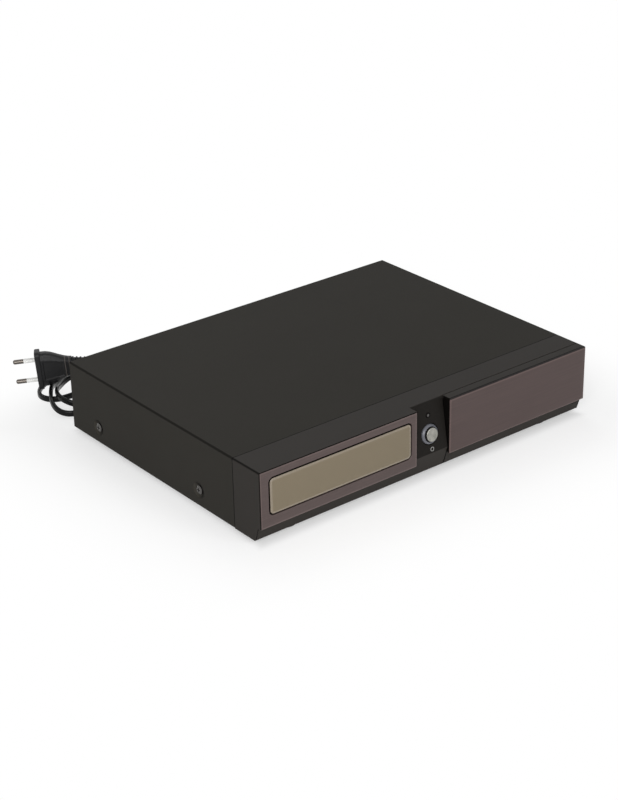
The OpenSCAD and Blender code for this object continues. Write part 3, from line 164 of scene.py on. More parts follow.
def shade_colour(material, share):
    """Multiplies a finish's base colour by a share, which is 1 where the colour stays."""
    tree = material.node_tree
    shader = tree.nodes["Principled BSDF"]
    mix = tree.nodes.new("ShaderNodeMix")
    mix.data_type = "RGBA"
    mix.blend_type = "MULTIPLY"
    mix.inputs[0].default_value = 1
    tree.links.new(shader.inputs["Base Color"].links[0].from_socket, mix.inputs[6])
    tree.links.new(share, mix.inputs[7])
    tree.links.new(mix.outputs[2], shader.inputs["Base Color"])


def noise_at(tree, place, waves, detail):
    """Noise with that many waves per unit of the place, and that many finer layers."""
    noise = tree.nodes.new("ShaderNodeTexNoise")
    noise.inputs["Scale"].default_value = waves
    noise.inputs["Detail"].default_value = detail
    tree.links.new(place, noise.inputs["Vector"])
    return noise


def finish(name, colour, spread=0.12, grain=900, rough=0.5, rough_spread=0.06, metal=0.0, specular=0.5,
           bump=0.15, depth=0.05, mottle=0.06):
    """Shader whose colour, roughness and bump follow a fine grain, with slow mottling over the whole piece.

    grain is waves per metre, one number or three, and a stretched grain brushes the surface. depth is the
    grain's relief in mm.
    """
    material = bpy.data.materials.new(name)
    material.use_nodes = True
    tree = material.node_tree
    shader = tree.nodes["Principled BSDF"]
    shader.inputs["Metallic"].default_value = metal
    shader.inputs["Specular IOR Level"].default_value = specular
    place = tree.nodes.new("ShaderNodeTexCoord").outputs["Object"]
    stretch = tree.nodes.new("ShaderNodeMapping")
    stretch.inputs["Scale"].default_value = (grain,) * 3 if isinstance(grain, int) else grain
    tree.links.new(place, stretch.inputs["Vector"])
    fine = noise_at(tree, stretch.outputs["Vector"], 1, 3)
    fine.inputs["Roughness"].default_value = 0.6
    slow = noise_at(tree, place, MOTTLE_WAVES, 4)
    base = tree.nodes.new("ShaderNodeMix")
    base.data_type = "RGBA"
    for socket, share in ((base.inputs[6], 1 - spread), (base.inputs[7], 1 + spread)):
        socket.default_value = (*np.clip(tone(*colour) * share, 0, 1), 1)
    tree.links.new(fine.outputs["Fac"], base.inputs[0])
    tree.links.new(base.outputs[2], shader.inputs["Base Color"])
    cloud = map_range(tree, slow.outputs["Fac"], NOISE_LOW, NOISE_HIGH, 1 - mottle, 1)
    shade_colour(material, cloud.outputs["Result"])
    smooth = max(rough - rough_spread, 0.02)
    gloss = map_range(tree, fine.outputs["Fac"], NOISE_LOW, NOISE_HIGH, smooth, min(rough + rough_spread, 1))
    tree.links.new(gloss.outputs["Result"], shader.inputs["Roughness"])
    if bump:
        relief = tree.nodes.new("ShaderNodeBump")
        relief.inputs["Strength"].default_value = bump
        relief.inputs["Distance"].default_value = depth * MM
        tree.links.new(fine.outputs["Fac"], relief.inputs["Height"])
        tree.links.new(relief.outputs["Normal"], shader.inputs["Normal"])
    return material


# Painted shade and light on the finishes: dark lines and darker fields where shade falls, paler lines where
# light falls

SEAM_SHADE = 0.35
BEND_SHADE = 0.4
STRIP_SHADE = 0.58
RIM_SHADE = 0.85
RIM_HIGHLIGHT = 1.45
TOP_LINE = 1.2
TOP_LINE_SHADE = 0.08
DIMPLE_LIGHT = 1.6
DIMPLE_SHADOW = 0.08
DIMPLE_UP = 0.5
DIMPLE_ALONG = 0.87


def darker(tree, inside, loss):
    """1 where inside is 0, falling to 1 - loss where inside is 1."""
    return reckon(tree, "SUBTRACT", 1.0, reckon(tree, "MULTIPLY", inside, loss))


def paint_seam_shade(material):
    """Painted shade: a dark line along the joint between the cover and the moulded front, where the gap's
    shadow falls.
    """
    tree = material.node_tree
    off_seam = distance(tree, object_axes(tree)[1], Y_SEAM)
    shade_colour(material, fade(tree, off_seam, 0.3, 0.8, SEAM_SHADE, 1))


def paint_bend_shade(material):
    """Painted shade: a dark line round the bend between top and side.

    It lies where the parts of |x| and z beyond the start of the bend sum past its radius.
    """
    tree = material.node_tree
    x, _, z = object_axes(tree)
    past_x = reckon(tree, "SUBTRACT", distance(tree, x, 0), (HALF_W - BEND_R) * MM)
    past_z = reckon(tree, "SUBTRACT", z, (Z_TOP - BEND_R) * MM)
    past = reckon(tree, "ADD", reckon(tree, "MAXIMUM", past_x), reckon(tree, "MAXIMUM", past_z))
    shade_colour(material, fade(tree, past, BEND_R, 1.3 * BEND_R, 1, BEND_SHADE))


def paint_strip_shade(material):
    """Painted shade: the leaning strip's face is made darker between its sides, above its nose and below the
    top.
    """
    tree = material.node_tree
    x, y, z = object_axes(tree)
    across = fade(tree, distance(tree, x, STRIP_MID), STRIP_W / 2 - 0.05, STRIP_W / 2 + 0.05, 1, 0)
    middle = (STRIP_NOSE[2] + Z_TOP) / 2
    up = fade(tree, distance(tree, z, middle), Z_TOP - middle - 0.2, Z_TOP - middle - 0.1, 1, 0)
    front = fade(tree, y, STRIP_TOP[1] + 0.5, STRIP_TOP[1] + 1, 1, 0)
    shade_colour(material, darker(tree, product(tree, across, up, front), STRIP_SHADE))


def paint_rim_shade(material):
    """Painted shade: dark lines on the moulding along its outer edges, over the panel and in the gap beside
    the flap, where shadow falls at edges and in gaps.
    """
    tree = material.node_tree
    x, y, z = object_axes(tree)
    ends = fade(tree, distance(tree, distance(tree, x, 0), HALF_W - 0.65), 0.45, 0.55, 1, 0)
    over = product(tree, fade(tree, distance(tree, z, Z_TOP - 0.5), 0.4, 0.47, 1, 0),
                   fade(tree, y, Y_FRONT + 0.8, Y_FRONT + 1.2, 1, 0))
    gap = product(tree, fade(tree, distance(tree, x, GAP_X), 0.6, 0.8, 1, 0),
                  fade(tree, y, STRIP_TOP[1] - 0.4, STRIP_TOP[1] - 0.1, 1, 0))
    line = reckon(tree, "MAXIMUM", reckon(tree, "MAXIMUM", ends, over), gap)
    shade_colour(material, darker(tree, line, RIM_SHADE))


def paint_rim_highlight(material, box, top):
    """Painted highlight: a paler line inside the edges of a plate; painted shade: a dark line of that height
    along its top.
    """
    tree = material.node_tree
    x, _, z = object_axes(tree)
    x0, x1, z0, z1 = box
    z1 -= top
    in_x = reckon(tree, "SUBTRACT", (x1 - x0) / 2 * MM, distance(tree, x, (x0 + x1) / 2))
    in_z = reckon(tree, "SUBTRACT", (z1 - z0) / 2 * MM, distance(tree, z, (z0 + z1) / 2))
    shade_colour(material, fade(tree, reckon(tree, "MINIMUM", in_x, in_z), 0.8, 1.7, RIM_HIGHLIGHT, 1))
    if top:
        shade_colour(material, fade(tree, z, z1, z1 + 0.2, 1, TOP_LINE_SHADE))


def paint_dimple_light_and_shadow(material):
    """Painted light and shade in the dimple round each side screw: a painted shadow on the upper front wall
    and painted light on the lower rear wall.
    """
    tree = material.node_tree
    x, y, z = object_axes(tree)
    off_mid = reckon(tree, "SUBTRACT", y, SCREW_MID * MM)
    nearest = product(tree, reckon(tree, "SIGN", off_mid), SCREW_HALF * MM)
    along = reckon(tree, "SUBTRACT", off_mid, nearest)
    above = reckon(tree, "SUBTRACT", z, SCREW_Z * MM)
    slope = reckon(tree, "SUBTRACT", product(tree, above, DIMPLE_UP), product(tree, along, DIMPLE_ALONG))
    inside = product(tree, fade(tree, distance(tree, x, 0), HALF_W - 0.25, HALF_W - 0.05, 1, 0),
                     fade(tree, z, 26, 28, 1, 0))
    change = reckon(tree, "SUBTRACT", fade(tree, slope, -5, 4, DIMPLE_LIGHT, DIMPLE_SHADOW), 1.0)
    shade_colour(material, reckon(tree, "ADD", 1.0, product(tree, inside, change)))


# Finishes of the record's slots, and of the small pieces

BRUSHED = dict(spread=0.24, grain=(22, 1300, 1300), rough=0.42, metal=0.3, specular=0.3, bump=0.12,
               depth=0.02)
SLOT_LOOKS = {
    "cover_paint": dict(colour=(48, 46, 42), grain=1500, rough=0.55, specular=0.04, bump=0.35, depth=0.06),
    "zinc_steel": dict(colour=(176, 178, 180), spread=0.08, grain=240, rough=0.38, metal=0.9, bump=0.05),
    "front_plastic": dict(colour=(48, 45, 42), grain=1800, rough=0.45, specular=0.05, bump=0.2, depth=0.03),
    "brown_metal": dict(BRUSHED, colour=(78, 65, 63)),
    "display_tint": dict(colour=(113, 102, 82), spread=0.02, grain=60, rough=0.42, rough_spread=0.01,
                         specular=0.4, bump=0.0, mottle=0.02),
    "display_glass": dict(colour=(52, 62, 62), rough=0.12, bump=0.0),
    "inner_plastic": dict(colour=(30, 30, 30), rough=0.5, specular=0.2),
    "circuit_board": dict(colour=(40, 98, 62), spread=0.25, grain=300, rough=0.4),
    "ring_grey": dict(colour=(100, 101, 108), spread=0.05, rough=0.3, specular=0.4, bump=0.03),
    "button_silver": dict(colour=(150, 149, 142), spread=0.5, grain=330, rough=0.32, metal=0.75, bump=0.1,
                          depth=0.03),
    "sensor_dark": dict(colour=(70, 68, 66), spread=0.05, rough=0.25, bump=0.0),
    "key_plastic": dict(colour=(48, 48, 50), grain=1500, rough=0.5, specular=0.25),
    "heatsink_metal": dict(colour=(160, 162, 165), grain=(30, 900, 900), rough=0.35, metal=0.9),
    "socket_metal": dict(colour=(200, 200, 195), spread=0.06, rough=0.22, metal=1.0, bump=0.03),
    "winding": dict(colour=(196, 166, 76), spread=0.1, grain=(60, 60, 600), rough=0.45),
    "capacitor_sleeve": dict(colour=(34, 40, 52), rough=0.3, bump=0.05),
    "ribbon": dict(colour=(154, 160, 166), spread=0.3, grain=(800, 20, 20), rough=0.5),
    "black_steel": dict(colour=(88, 86, 84), rough=0.22, metal=0.9, bump=0.08),
    "foot_rubber": dict(colour=(22, 22, 22), rough=0.75, specular=0.1, bump=0.3),
    "cord_rubber": dict(colour=(7, 7, 7), grain=1200, rough=0.26, specular=0.16, bump=0.06),
    "pin_metal": dict(colour=(96, 91, 86), spread=0.06, rough=0.25, metal=1.0, bump=0.03),
    "sleeve_plastic": dict(colour=(240, 240, 237), spread=0.02, rough=0.3, bump=0.03),
}
TRIM_LOOKS = {
    "plug_rubber": dict(colour=(26, 26, 27), grain=1200, rough=0.45, specular=0.22, bump=0.12),
    # Paler rubber for the plug's ridges: a painted highlight where they catch light
    "plug_ridge_highlight": dict(colour=(78, 73, 70), rough=0.45, specular=0.3, bump=0.1),
    # A lighter copy of the flap's brown metal for the panel: painted light, for the light that falls off from
    # left to right across the front
    "panel_metal_lit": dict(BRUSHED, colour=(84, 72, 70)),
    # Near black: painted shade on the side walls of the lens and the flap, and the dark rim of the sensor
    "dark_trim_and_painted_shade": dict(colour=(12, 10, 9), rough=0.6, specular=0.05, bump=0.03),
    # Paler tint for the lens's bevel: a painted highlight
    "lens_edge_highlight": dict(colour=(132, 121, 105), spread=0.02, rough=0.25, bump=0.02),
    "mark_pale": dict(colour=(150, 150, 147), spread=0.05, rough=0.4, bump=0.02),
    # Dark grey for the cap's side and the outer part of its rim: painted shade in the gap round the cap
    "cap_side_shade": dict(colour=(34, 33, 33), spread=0.08, rough=0.4, specular=0.15, bump=0.05),
    "print_white": dict(colour=(205, 205, 200), spread=0.04, rough=0.5, bump=0.03),
    "collar_yellow": dict(colour=(206, 172, 40), spread=0.06, rough=0.38, bump=0.04),
    "collar_white": dict(colour=(214, 212, 204), spread=0.04, rough=0.38, bump=0.04),
    "collar_red": dict(colour=(164, 34, 30), spread=0.08, rough=0.38, bump=0.04),
    "insulator": dict(colour=(222, 216, 198), spread=0.04, rough=0.45, bump=0.04),
    "contact_gold": dict(colour=(206, 170, 92), spread=0.06, rough=0.25, metal=1.0, bump=0.02),
    "light_green": dict(colour=(70, 128, 66), spread=0.06, rough=0.25, bump=0.02),
    "light_amber": dict(colour=(180, 122, 44), spread=0.06, rough=0.25, bump=0.02),
}
FINISHES = {name: finish(name, **look) for name, look in SLOT_LOOKS.items()}
TRIM = {name: finish(name, **look) for name, look in TRIM_LOOKS.items()}
# Painted shade and light: dark lines and fields on the cover and the moulding, highlight lines on the brown
# plates, a painted shadow and painted light in the screw dimples
paint_seam_shade(FINISHES["cover_paint"])
paint_bend_shade(FINISHES["cover_paint"])
paint_seam_shade(FINISHES["front_plastic"])
paint_strip_shade(FINISHES["front_plastic"])
paint_rim_shade(FINISHES["front_plastic"])
paint_dimple_light_and_shadow(FINISHES["cover_paint"])
paint_rim_highlight(FINISHES["brown_metal"], FLAP_BOX, TOP_LINE)
paint_rim_highlight(TRIM["panel_metal_lit"], PANEL_BOX, 0)
for row in frame["record"]["subparts"]:
    cad = nodes[row["node"]]
    cad.data.materials.clear()
    cad.data.materials.append(FINISHES[row["material_slot"]])


# Surfaces on a grid

CORNERS = ((-1, -1), (1, -1), (1, 1), (-1, 1))


def surface(name, grid, wrap_u=False, wrap_v=False, sharp=35):
    """Mesh of a grid of points P(u, v) in millimetres, in which each four neighbours are a face.

    A wrapped way joins its ends. Poles and seams that fall together are merged, and the normals are turned
    outwards.
    """
    grid = np.asarray(grid, dtype=float) * MM
    count_u, count_v = grid.shape[:2]
    index = np.arange(count_u * count_v).reshape(count_u, count_v)
    if wrap_u:
        index = np.concatenate([index, index[:1]], axis=0)
    if wrap_v:
        index = np.concatenate([index, index[:, :1]], axis=1)
    faces = np.stack([index[:-1, :-1], index[1:, :-1], index[1:, 1:], index[:-1, 1:]], axis=-1)
    mesh = bpy.data.meshes.new(name)
    mesh.from_pydata(grid.reshape(-1, 3).tolist(), [], faces.reshape(-1, 4).tolist())
    return close_mesh(name, mesh, sharp)


def close_mesh(name, mesh, sharp):
    """Merges doubles, turns the faces outwards, marks edges past the sharp angle and links the object."""
    shape = bmesh.new()
    shape.from_mesh(mesh)
    bmesh.ops.remove_doubles(shape, verts=shape.verts, dist=2e-7)
    bmesh.ops.dissolve_degenerate(shape, edges=shape.edges, dist=1e-7)
    bmesh.ops.recalc_face_normals(shape, faces=shape.faces)
    shape.to_mesh(mesh)
    shape.free()
    mesh.polygons.foreach_set("use_smooth", np.ones(len(mesh.polygons), dtype=bool))
    mesh.set_sharp_from_angle(angle=math.radians(sharp))
    mesh.update()
    piece = bpy.data.objects.new(name, mesh)
    bpy.context.scene.collection.objects.link(piece)
    return piece


def with_ends(grid):
    """Rings with another drawn together to a point before the first and after the last, which closes them."""
    ends = [np.repeat(grid[row].mean(axis=0)[None, None], grid.shape[1], axis=1) for row in (0, -1)]
    return np.concatenate([ends[0], grid, ends[1]])


def capped(rings, height):
    """Rings with the first and last drawn together to a line at that height, which closes both faces."""
    first = rings[0].copy()
    first[:, 2] = height
    last = rings[-1].copy()
    last[:, 2] = height
    return np.array([first] + rings + [last])


def prism(name, outline, y0, y1):
    """Flat piece: an outline of (x, z) points drawn out along Y from y0 to y1."""
    outline = np.asarray(outline, dtype=float)
    middle = outline.mean(axis=0)
    rows = []
    for share, y in ((0, y0), (1, y0), (1, y1), (0, y1)):
        ring = middle + (outline - middle) * share
        rows.append(np.stack([ring[:, 0], np.full(len(ring), y), ring[:, 1]], axis=-1))
    return surface(name, np.array(rows), wrap_v=True, sharp=30)


def turned(profile, count=64):
    """Points of a profile of (radius, height) turned once about +Z: x = r cos a, y = r sin a, z = h."""
    profile = np.asarray(profile, dtype=float)
    angle = np.linspace(0, 2 * np.pi, count, endpoint=False)
    ring = np.stack([np.cos(angle), np.sin(angle)], axis=-1)
    flat = profile[:, None, :1] * ring[None]
    return np.concatenate([flat, np.repeat(profile[:, None, 1:], count, axis=1)], axis=-1)


def placed(grid, origin, out):
    """Grid moved so that its +Z runs along out, its +X along the world's and its zero is at origin."""
    out = np.asarray(out, dtype=float) / np.linalg.norm(out)
    side = np.array([1.0, 0.0, 0.0])
    side = side - out * (side @ out)
    side = side / np.linalg.norm(side)
    turn = np.stack([side, np.cross(out, side), out], axis=0)
    return grid @ turn + np.asarray(origin, dtype=float)


def joined(name, parts):
    """One object from several, in the first one's place."""
    with bpy.context.temp_override(active_object=parts[0], selected_editable_objects=parts):
        bpy.ops.object.join()
    parts[0].name = name
    parts[0].data.name = name
    return parts[0]


def outline(box, radii, inset=0, steps=8):
    """Points (x, z) round the box (x0, x1, z0, z1) set in by inset, with quarter circles at its corners.

    The radii belong to the upper right, upper left, lower left and lower right corner.
    """
    x0, x1, z0, z1 = box
    quarter = np.linspace(0, np.pi / 2, steps)
    ends = ((x1, z1, 1, 1), (x0, z1, -1, 1), (x0, z0, -1, -1), (x1, z0, 1, -1))
    corners = []
    for turn, (x, z, sx, sz) in enumerate(ends):
        radius = max(radii[turn] - inset, 0.02)
        centre = np.array([x - sx * (inset + radius), z - sz * (inset + radius)])
        angle = quarter + turn * np.pi / 2
        corners.append(centre + radius * np.stack([np.cos(angle), np.sin(angle)], axis=-1))
    return np.concatenate(corners)


def at_depth(points, depth):
    """Points (x, z) as points in space, that far behind the front plane."""
    return np.stack([points[:, 0], np.full(len(points), Y_FRONT + depth), points[:, 1]], axis=-1)


def rolled_edge(radius, steps=6):
    """Pairs (inset, depth) round a quarter circle, from the side of a plate to its face."""
    angle = np.linspace(0, np.pi / 2, steps)
    return [(radius * (1 - math.cos(a)), radius * (1 - math.sin(a))) for a in angle]


def smooth_step(t):
    """0 before 0, 1 after 1, and 3t^2 - 2t^3 between."""
    t = np.clip(t, 0, 1)
    return t * t * (3 - 2 * t)


def add(piece, body, material, stands_for=()):
    """Puts a piece on its body, with its finish, and hides the CAD nodes it stands for."""
    piece.data.materials.clear()
    piece.data.materials.append(material)
    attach(piece, body)
    if stands_for:
        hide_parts(*stands_for)
    return piece


def shade_below(piece, material, origin, out, height):
    """Gives another material to the faces whose middle lies lower than that over the origin, along out."""
    mesh = piece.data
    mesh.materials.append(material)
    count = len(mesh.polygons)
    middle = np.empty(count * 3)
    index = np.empty(count, dtype=np.int32)
    mesh.polygons.foreach_get("center", middle)
    mesh.polygons.foreach_get("material_index", index)
    over = (middle.reshape(-1, 3) / MM - origin) @ np.asarray(out, dtype=float)
    chosen = np.where(over < height, len(mesh.materials) - 1, index)
    mesh.polygons.foreach_set("material_index", chosen.astype(np.int32))


# Mains lead on the same route as in the part's source
# A point is [right of the strain relief, behind the rear edge, above the lead's height on the floor]

CORD_W = 5.4
CORD_T = 3.4
CORD_Z = CORD_W / 2 + 0.2
CORD_GROOVE = 0.28
CORD_FAR_Y = 94.2
CORD_STEP = 2.2
SPLINE_STEP = 0.25
COIL_X = 39
COIL_Y = 50.5
COIL_R = 34.5
COIL_PITCH = 4
COIL_TURNS = 4.625
COIL_RISE = 5.9
TIE_T = 0.5
LEAD_POINTS = [
    (0, 21.5, BUSH_Z - CORD_Z), (0, 27, BUSH_Z - CORD_Z), (0, 40, 8.1), (-1, 54, 2.6), (-4, 66, 0),
    (-10, 78, 0), (-19, 88, 0), (-30, 93.5, 0), (-42, 94.3, 0), (-53.5, 91.6, 0), (-63.3, 86.4, 0),
    (-71, 78.8, 0), (-74.9, 70, 0), (-73, 61, 0), (-66, 55.2, 0), (-56.5, 53.8, 0), (-46, 54.4, 0),
    (-34.5, 58, 0), (-25.6, 65.8, 0), (-23.4, 76, 0), (-29.4, 84.8, 0), (-39.5, 87.6, 0),
    (-48.5, 84.4, 0.3), (-56.3, 78.8, 1.6), (-63.8, 69.8, 4.7), (-71.8, 57.8, 6.1), (-77.4, 48, 5.7),
    (-80.2, 39.5, 3.6), (-79.3, 31.2, 1.1), (-74.6, 24.8, 0), (-66.6, 21.2, 0), (-56, 20.3, 0),
    (-45, 21.2, 0), (-33, 24.8, 0), (-23.5, 32.3, 0), (-17.7, 43, 0.7), (-16.5, 55, 3.1), (-20, 66.5, 5.8),
    (-28, 75, 5.8), (-37.5, 79.4, 3.9), (-45.8, 78.4, 1.9), (-53.3, 73.2, 1.9), (-60.5, 65.3, 4.5),
    (-66.8, 56, 6.1), (-69.4, 46.5, 5.7), (-66.8, 38, 3.6), (-60, 32.8, 1.1), (-51, 31.4, 0.1),
    (-41, 31.8, 2.1), (-31, 31.5, 5.1), (-20, 29.7, 5.9), (-9, 26.6, 5.1), (2, 22.8, 2.7), (13, 18.8, 0.7),
    (23, 16.6, TIE_T), (COIL_X - CORD_W, COIL_Y - COIL_R, TIE_T)]
PLUG_AT = np.array([-70.7, 80.4, 23.35])
PLUG_TURN = math.radians(33)
PLUG_TIP = math.radians(4)
PLUG_AXIS = np.array([math.cos(PLUG_TURN) * math.cos(PLUG_TIP), -math.sin(PLUG_TURN) * math.cos(PLUG_TIP),
                      math.sin(PLUG_TIP)])
PLUG_SIDE = np.array([math.sin(PLUG_TURN), math.cos(PLUG_TURN), 0])
PLUG_UP = np.cross(PLUG_AXIS, PLUG_SIDE)
FLANGE_T = 4.5
PLUG_LEN = 26.5
RELIEF_LEN = 20
PLUG_END = PLUG_AT + PLUG_AXIS * (FLANGE_T + PLUG_LEN + RELIEF_LEN) - np.array([0, 0, CORD_Z])
TAIL_POINTS = [
    (5.5, 65.8, 6.9), (-0.5, 59.8, 9.5), (-6.3, 54, 13.9), (-12.2, 50.2, 18.3), (-18.4, 48.4, 22.3),
    tuple(PLUG_END + 5 * PLUG_AXIS), tuple(PLUG_END)]


def coil_points():
    """Spiral in on the floor and out on top: r falls by the pitch a turn to the middle, then grows again."""
    span = 360 * COIL_TURNS
    angle = np.linspace(0, span, int(24 * COIL_TURNS) + 1)
    radius = COIL_R - COIL_PITCH * np.minimum(angle, span - angle) / 360
    height = TIE_T + COIL_RISE * smooth_step((angle - span / 2 + 90) / 180)
    turn = np.radians(angle - 90)
    spiral = np.stack([COIL_X + radius * np.cos(turn), COIL_Y + radius * np.sin(turn), height], axis=-1)
    last = math.radians(span - 90)
    end = spiral[-1:] + CORD_W * np.array([[-math.sin(last), math.cos(last), 0]])
    return np.concatenate([spiral, end])


def spline(points, spacing):
    """Natural cubic spline through the points over chord length, sampled every spacing along it."""
    points = np.asarray(points, dtype=float)
    step = np.linalg.norm(np.diff(points, axis=0), axis=1)
    at = np.concatenate([[0], np.cumsum(step)])
    size = len(points)
    system = np.eye(size)
    right = np.zeros_like(points)
    inner = np.arange(1, size - 1)
    system[inner, inner - 1] = step[:-1]
    system[inner, inner] = 2 * (step[:-1] + step[1:])
    system[inner, inner + 1] = step[1:]
    slope = np.diff(points, axis=0) / step[:, None]
    right[inner] = 6 * np.diff(slope, axis=0)
    bend = np.linalg.solve(system, right)
    where = np.linspace(0, at[-1], int(at[-1] / SPLINE_STEP))
    piece = np.clip(np.searchsorted(at, where, side="right") - 1, 0, size - 2)
    h = step[piece][:, None]
    a = (at[piece + 1] - where)[:, None]
    b = (where - at[piece])[:, None]
    fine = (bend[piece] * a ** 3 + bend[piece + 1] * b ** 3) / (6 * h)
    fine = fine + (points[piece] / h - bend[piece] * h / 6) * a
    fine = fine + (points[piece + 1] / h - bend[piece + 1] * h / 6) * b
    run = np.concatenate([[0], np.cumsum(np.linalg.norm(np.diff(fine, axis=0), axis=1))])
    even = np.linspace(0, run[-1], int(round(run[-1] / spacing)) + 1)
    return np.stack([np.interp(even, run, fine[:, k]) for k in range(3)], axis=-1)


def twin_section():
    """Flat twin lead: two round cores side by side, with a shallow groove between them on each face."""
    core = CORD_T / 2
    spread = (CORD_W - CORD_T) / 2
    arc = np.radians(np.linspace(-90, 90, 9))
    one = np.stack([spread + core * np.cos(arc), core * np.sin(arc)], axis=-1)
    groove = np.array([[0, core - CORD_GROOVE]])
    return np.concatenate([one, groove, -one, -groove])


def make_lead():
    """Sweeps the twin section along the whole route, its width upright, and gives the path in metres."""
    route = np.concatenate([LEAD_POINTS, coil_points(), TAIL_POINTS])
    path = spline(route, CORD_STEP)
    path[:, 1] = np.minimum(path[:, 1], CORD_FAR_Y)
    path[:, 2] = CORD_Z + np.maximum(path[:, 2], -0.05)
    path = path + BUSH
    along = np.gradient(path, axis=0)
    along /= np.linalg.norm(along, axis=1)[:, None]
    up = np.array([0.0, 0.0, 1.0])
    wide = up - along * (along @ up)[:, None]
    wide /= np.linalg.norm(wide, axis=1)[:, None]
    thin = np.cross(along, wide)
    section = twin_section()
    rings = path[:, None] + wide[:, None] * section[None, :, :1] + thin[:, None] * section[None, :, 1:]
    return surface("mains_lead", with_ends(rings), wrap_v=True, sharp=60), path * MM


lead, lead_path = make_lead()
add(lead, "chassis", FINISHES["cord_rubber"], ("cord_lead", "cord_coil", "cord_tail"))


# Plug: a loft of sections from the pin face to the lead

FLANGE_HIGH = 17.65
FLANGE_THICK = 6.85
FLANGE_EDGE = [(0, 0.7), (0.12, 0.35), (0.45, 0.06), (0.9, 0), (3.6, 0), (4.1, 0.06), (4.4, 0.3), (4.5, 0.7)]
BODY_FROM = 4.52
BODY_STEP = 0.4
BODY_EDGE = 1.8
BODY_SIDES = np.array([(0, 15.6), (4.7, 15.5), (8.6, 14.6), (12.5, 13), (16.4, 11.2), (20.3, 9.7),
                       (23.4, 8.8), (26.5, 8.4)])
SIDE_SLOPE = 0.4
SUNK_FROM = 6.3
SUNK_TO = 23.9
SUNK_DEEP = 0.45
RIDGES = (25.4, 28.9)
RIDGE_RISE = 0.75
RIDGE_BANDS = [(29.4, "plug_ridge_highlight"), (28.4, "plug_rubber"), (25.9, "plug_ridge_highlight"), (24.9, "plug_rubber")]
RIBS = 6
RIB_EDGE = [(0.06, 0.9), (0.1, 0.3), (0.16, 0), (0.46, 0), (0.54, 0.3), (0.62, 0.9), (0.95, 0.9)]


def plug_stations():
    """Rows of distance from the pin face, half height, half thickness, half flat side and edge radius.

    The flange comes first, then the tapering body, the neck and the ribs of the strain relief.
    """
    rows = [(s, FLANGE_HIGH - cut, FLANGE_THICK - cut, 12, 5.7) for s, cut in FLANGE_EDGE]
    neck = FLANGE_T + PLUG_LEN
    for s in np.arange(BODY_FROM, neck, BODY_STEP):
        half = np.interp(s - FLANGE_T, BODY_SIDES[:, 0], BODY_SIDES[:, 1])
        thick = np.interp(s, [FLANGE_T, neck], [6.0, 4.6])
        flat = np.interp(s, [5, 26, 31], [9.8, 6.6, 6.2])
        rows.append((s, half, thick, flat, BODY_EDGE))
    rows += [(neck - 0.1, 8.2, 4.5, 6, BODY_EDGE), (neck, 7.8, 4.2, 5.8, BODY_EDGE)]
    pitch = RELIEF_LEN / RIBS
    for rib in range(RIBS):
        high = 8 - 0.48 * rib
        thick = 4.6 - 0.2 * rib
        for share, drop in RIB_EDGE:
            rows.append((neck + (rib + share) * pitch, high - drop, thick - drop, high - 3, 2.2))
    end = neck + RELIEF_LEN
    rows += [(end - 0.1, 4.7, 2.7, 3, 2), (end, 4.4, 2.4, 3, 2)]
    return np.array(rows)


def make_plug():
    """Each section has flat sides that slope in above and below and a rolled edge.

    y(z) = T (1 - 0.4 t) with t from 0 at the end of the flat side to 1 at the edge, less r - sqrt(r^2 - e^2)
    in the edge. A panel is let into each side, and two ridges cross the neck.
    """
    rows = plug_stations()
    s, high, thick, flat, radius = (rows[:, k:k + 1] for k in range(5))
    z = -np.cos(np.linspace(0, np.pi, 44)) * high
    outer = np.clip((np.abs(z) - flat) / np.maximum(high - flat, 0.1), 0, 1)
    slope = np.where(s < FLANGE_T, 0, SIDE_SLOPE) * outer
    radius = np.minimum(radius, thick * 0.58)
    edge = np.clip(np.abs(z) - (high - radius), 0, radius)
    y = thick * (1 - slope) - (radius - np.sqrt(np.maximum(radius ** 2 - edge ** 2, 0)))
    inside = smooth_step((flat - 0.3 - np.abs(z)) / 0.5)
    panel = inside * smooth_step((s - SUNK_FROM) / 0.5) * smooth_step((SUNK_TO - s) / 0.5)
    bands = sum(np.exp(-((s - at) / 0.6) ** 4) for at in RIDGES)
    ridge = smooth_step((flat + 0.6 - np.abs(z)) / 0.6) * bands
    y = y - SUNK_DEEP * panel + RIDGE_RISE * ridge
    both_y = np.concatenate([y, -y[:, ::-1]], axis=1)
    both_z = np.concatenate([z, z[:, ::-1]], axis=1)
    place = PLUG_AT + BUSH
    grid = place + s[..., None] * PLUG_AXIS + both_y[..., None] * PLUG_SIDE + both_z[..., None] * PLUG_UP
    return surface("plug_shell", with_ends(grid), wrap_v=True, sharp=50)


plug = add(make_plug(), "chassis", TRIM["plug_rubber"], ("plug_body",))
# Painted highlight: bands of paler rubber on the two ridges across the neck
for end, band in RIDGE_BANDS:
    shade_below(plug, TRIM[band], PLUG_AT + BUSH, PLUG_AXIS, end)


# Tie round the coil

TIE_TURN = math.radians(14)
TIE_BOX = (23.2, 36.6, 0.6, 12.2)
TIE_RADII = (2.5, 2.5, 1, 1)
TIE_HALF = 1.9
TIE_SKIN = TIE_T - 0.08
TWIST_HALF = 1.7
TWIST_THIN = 0.35


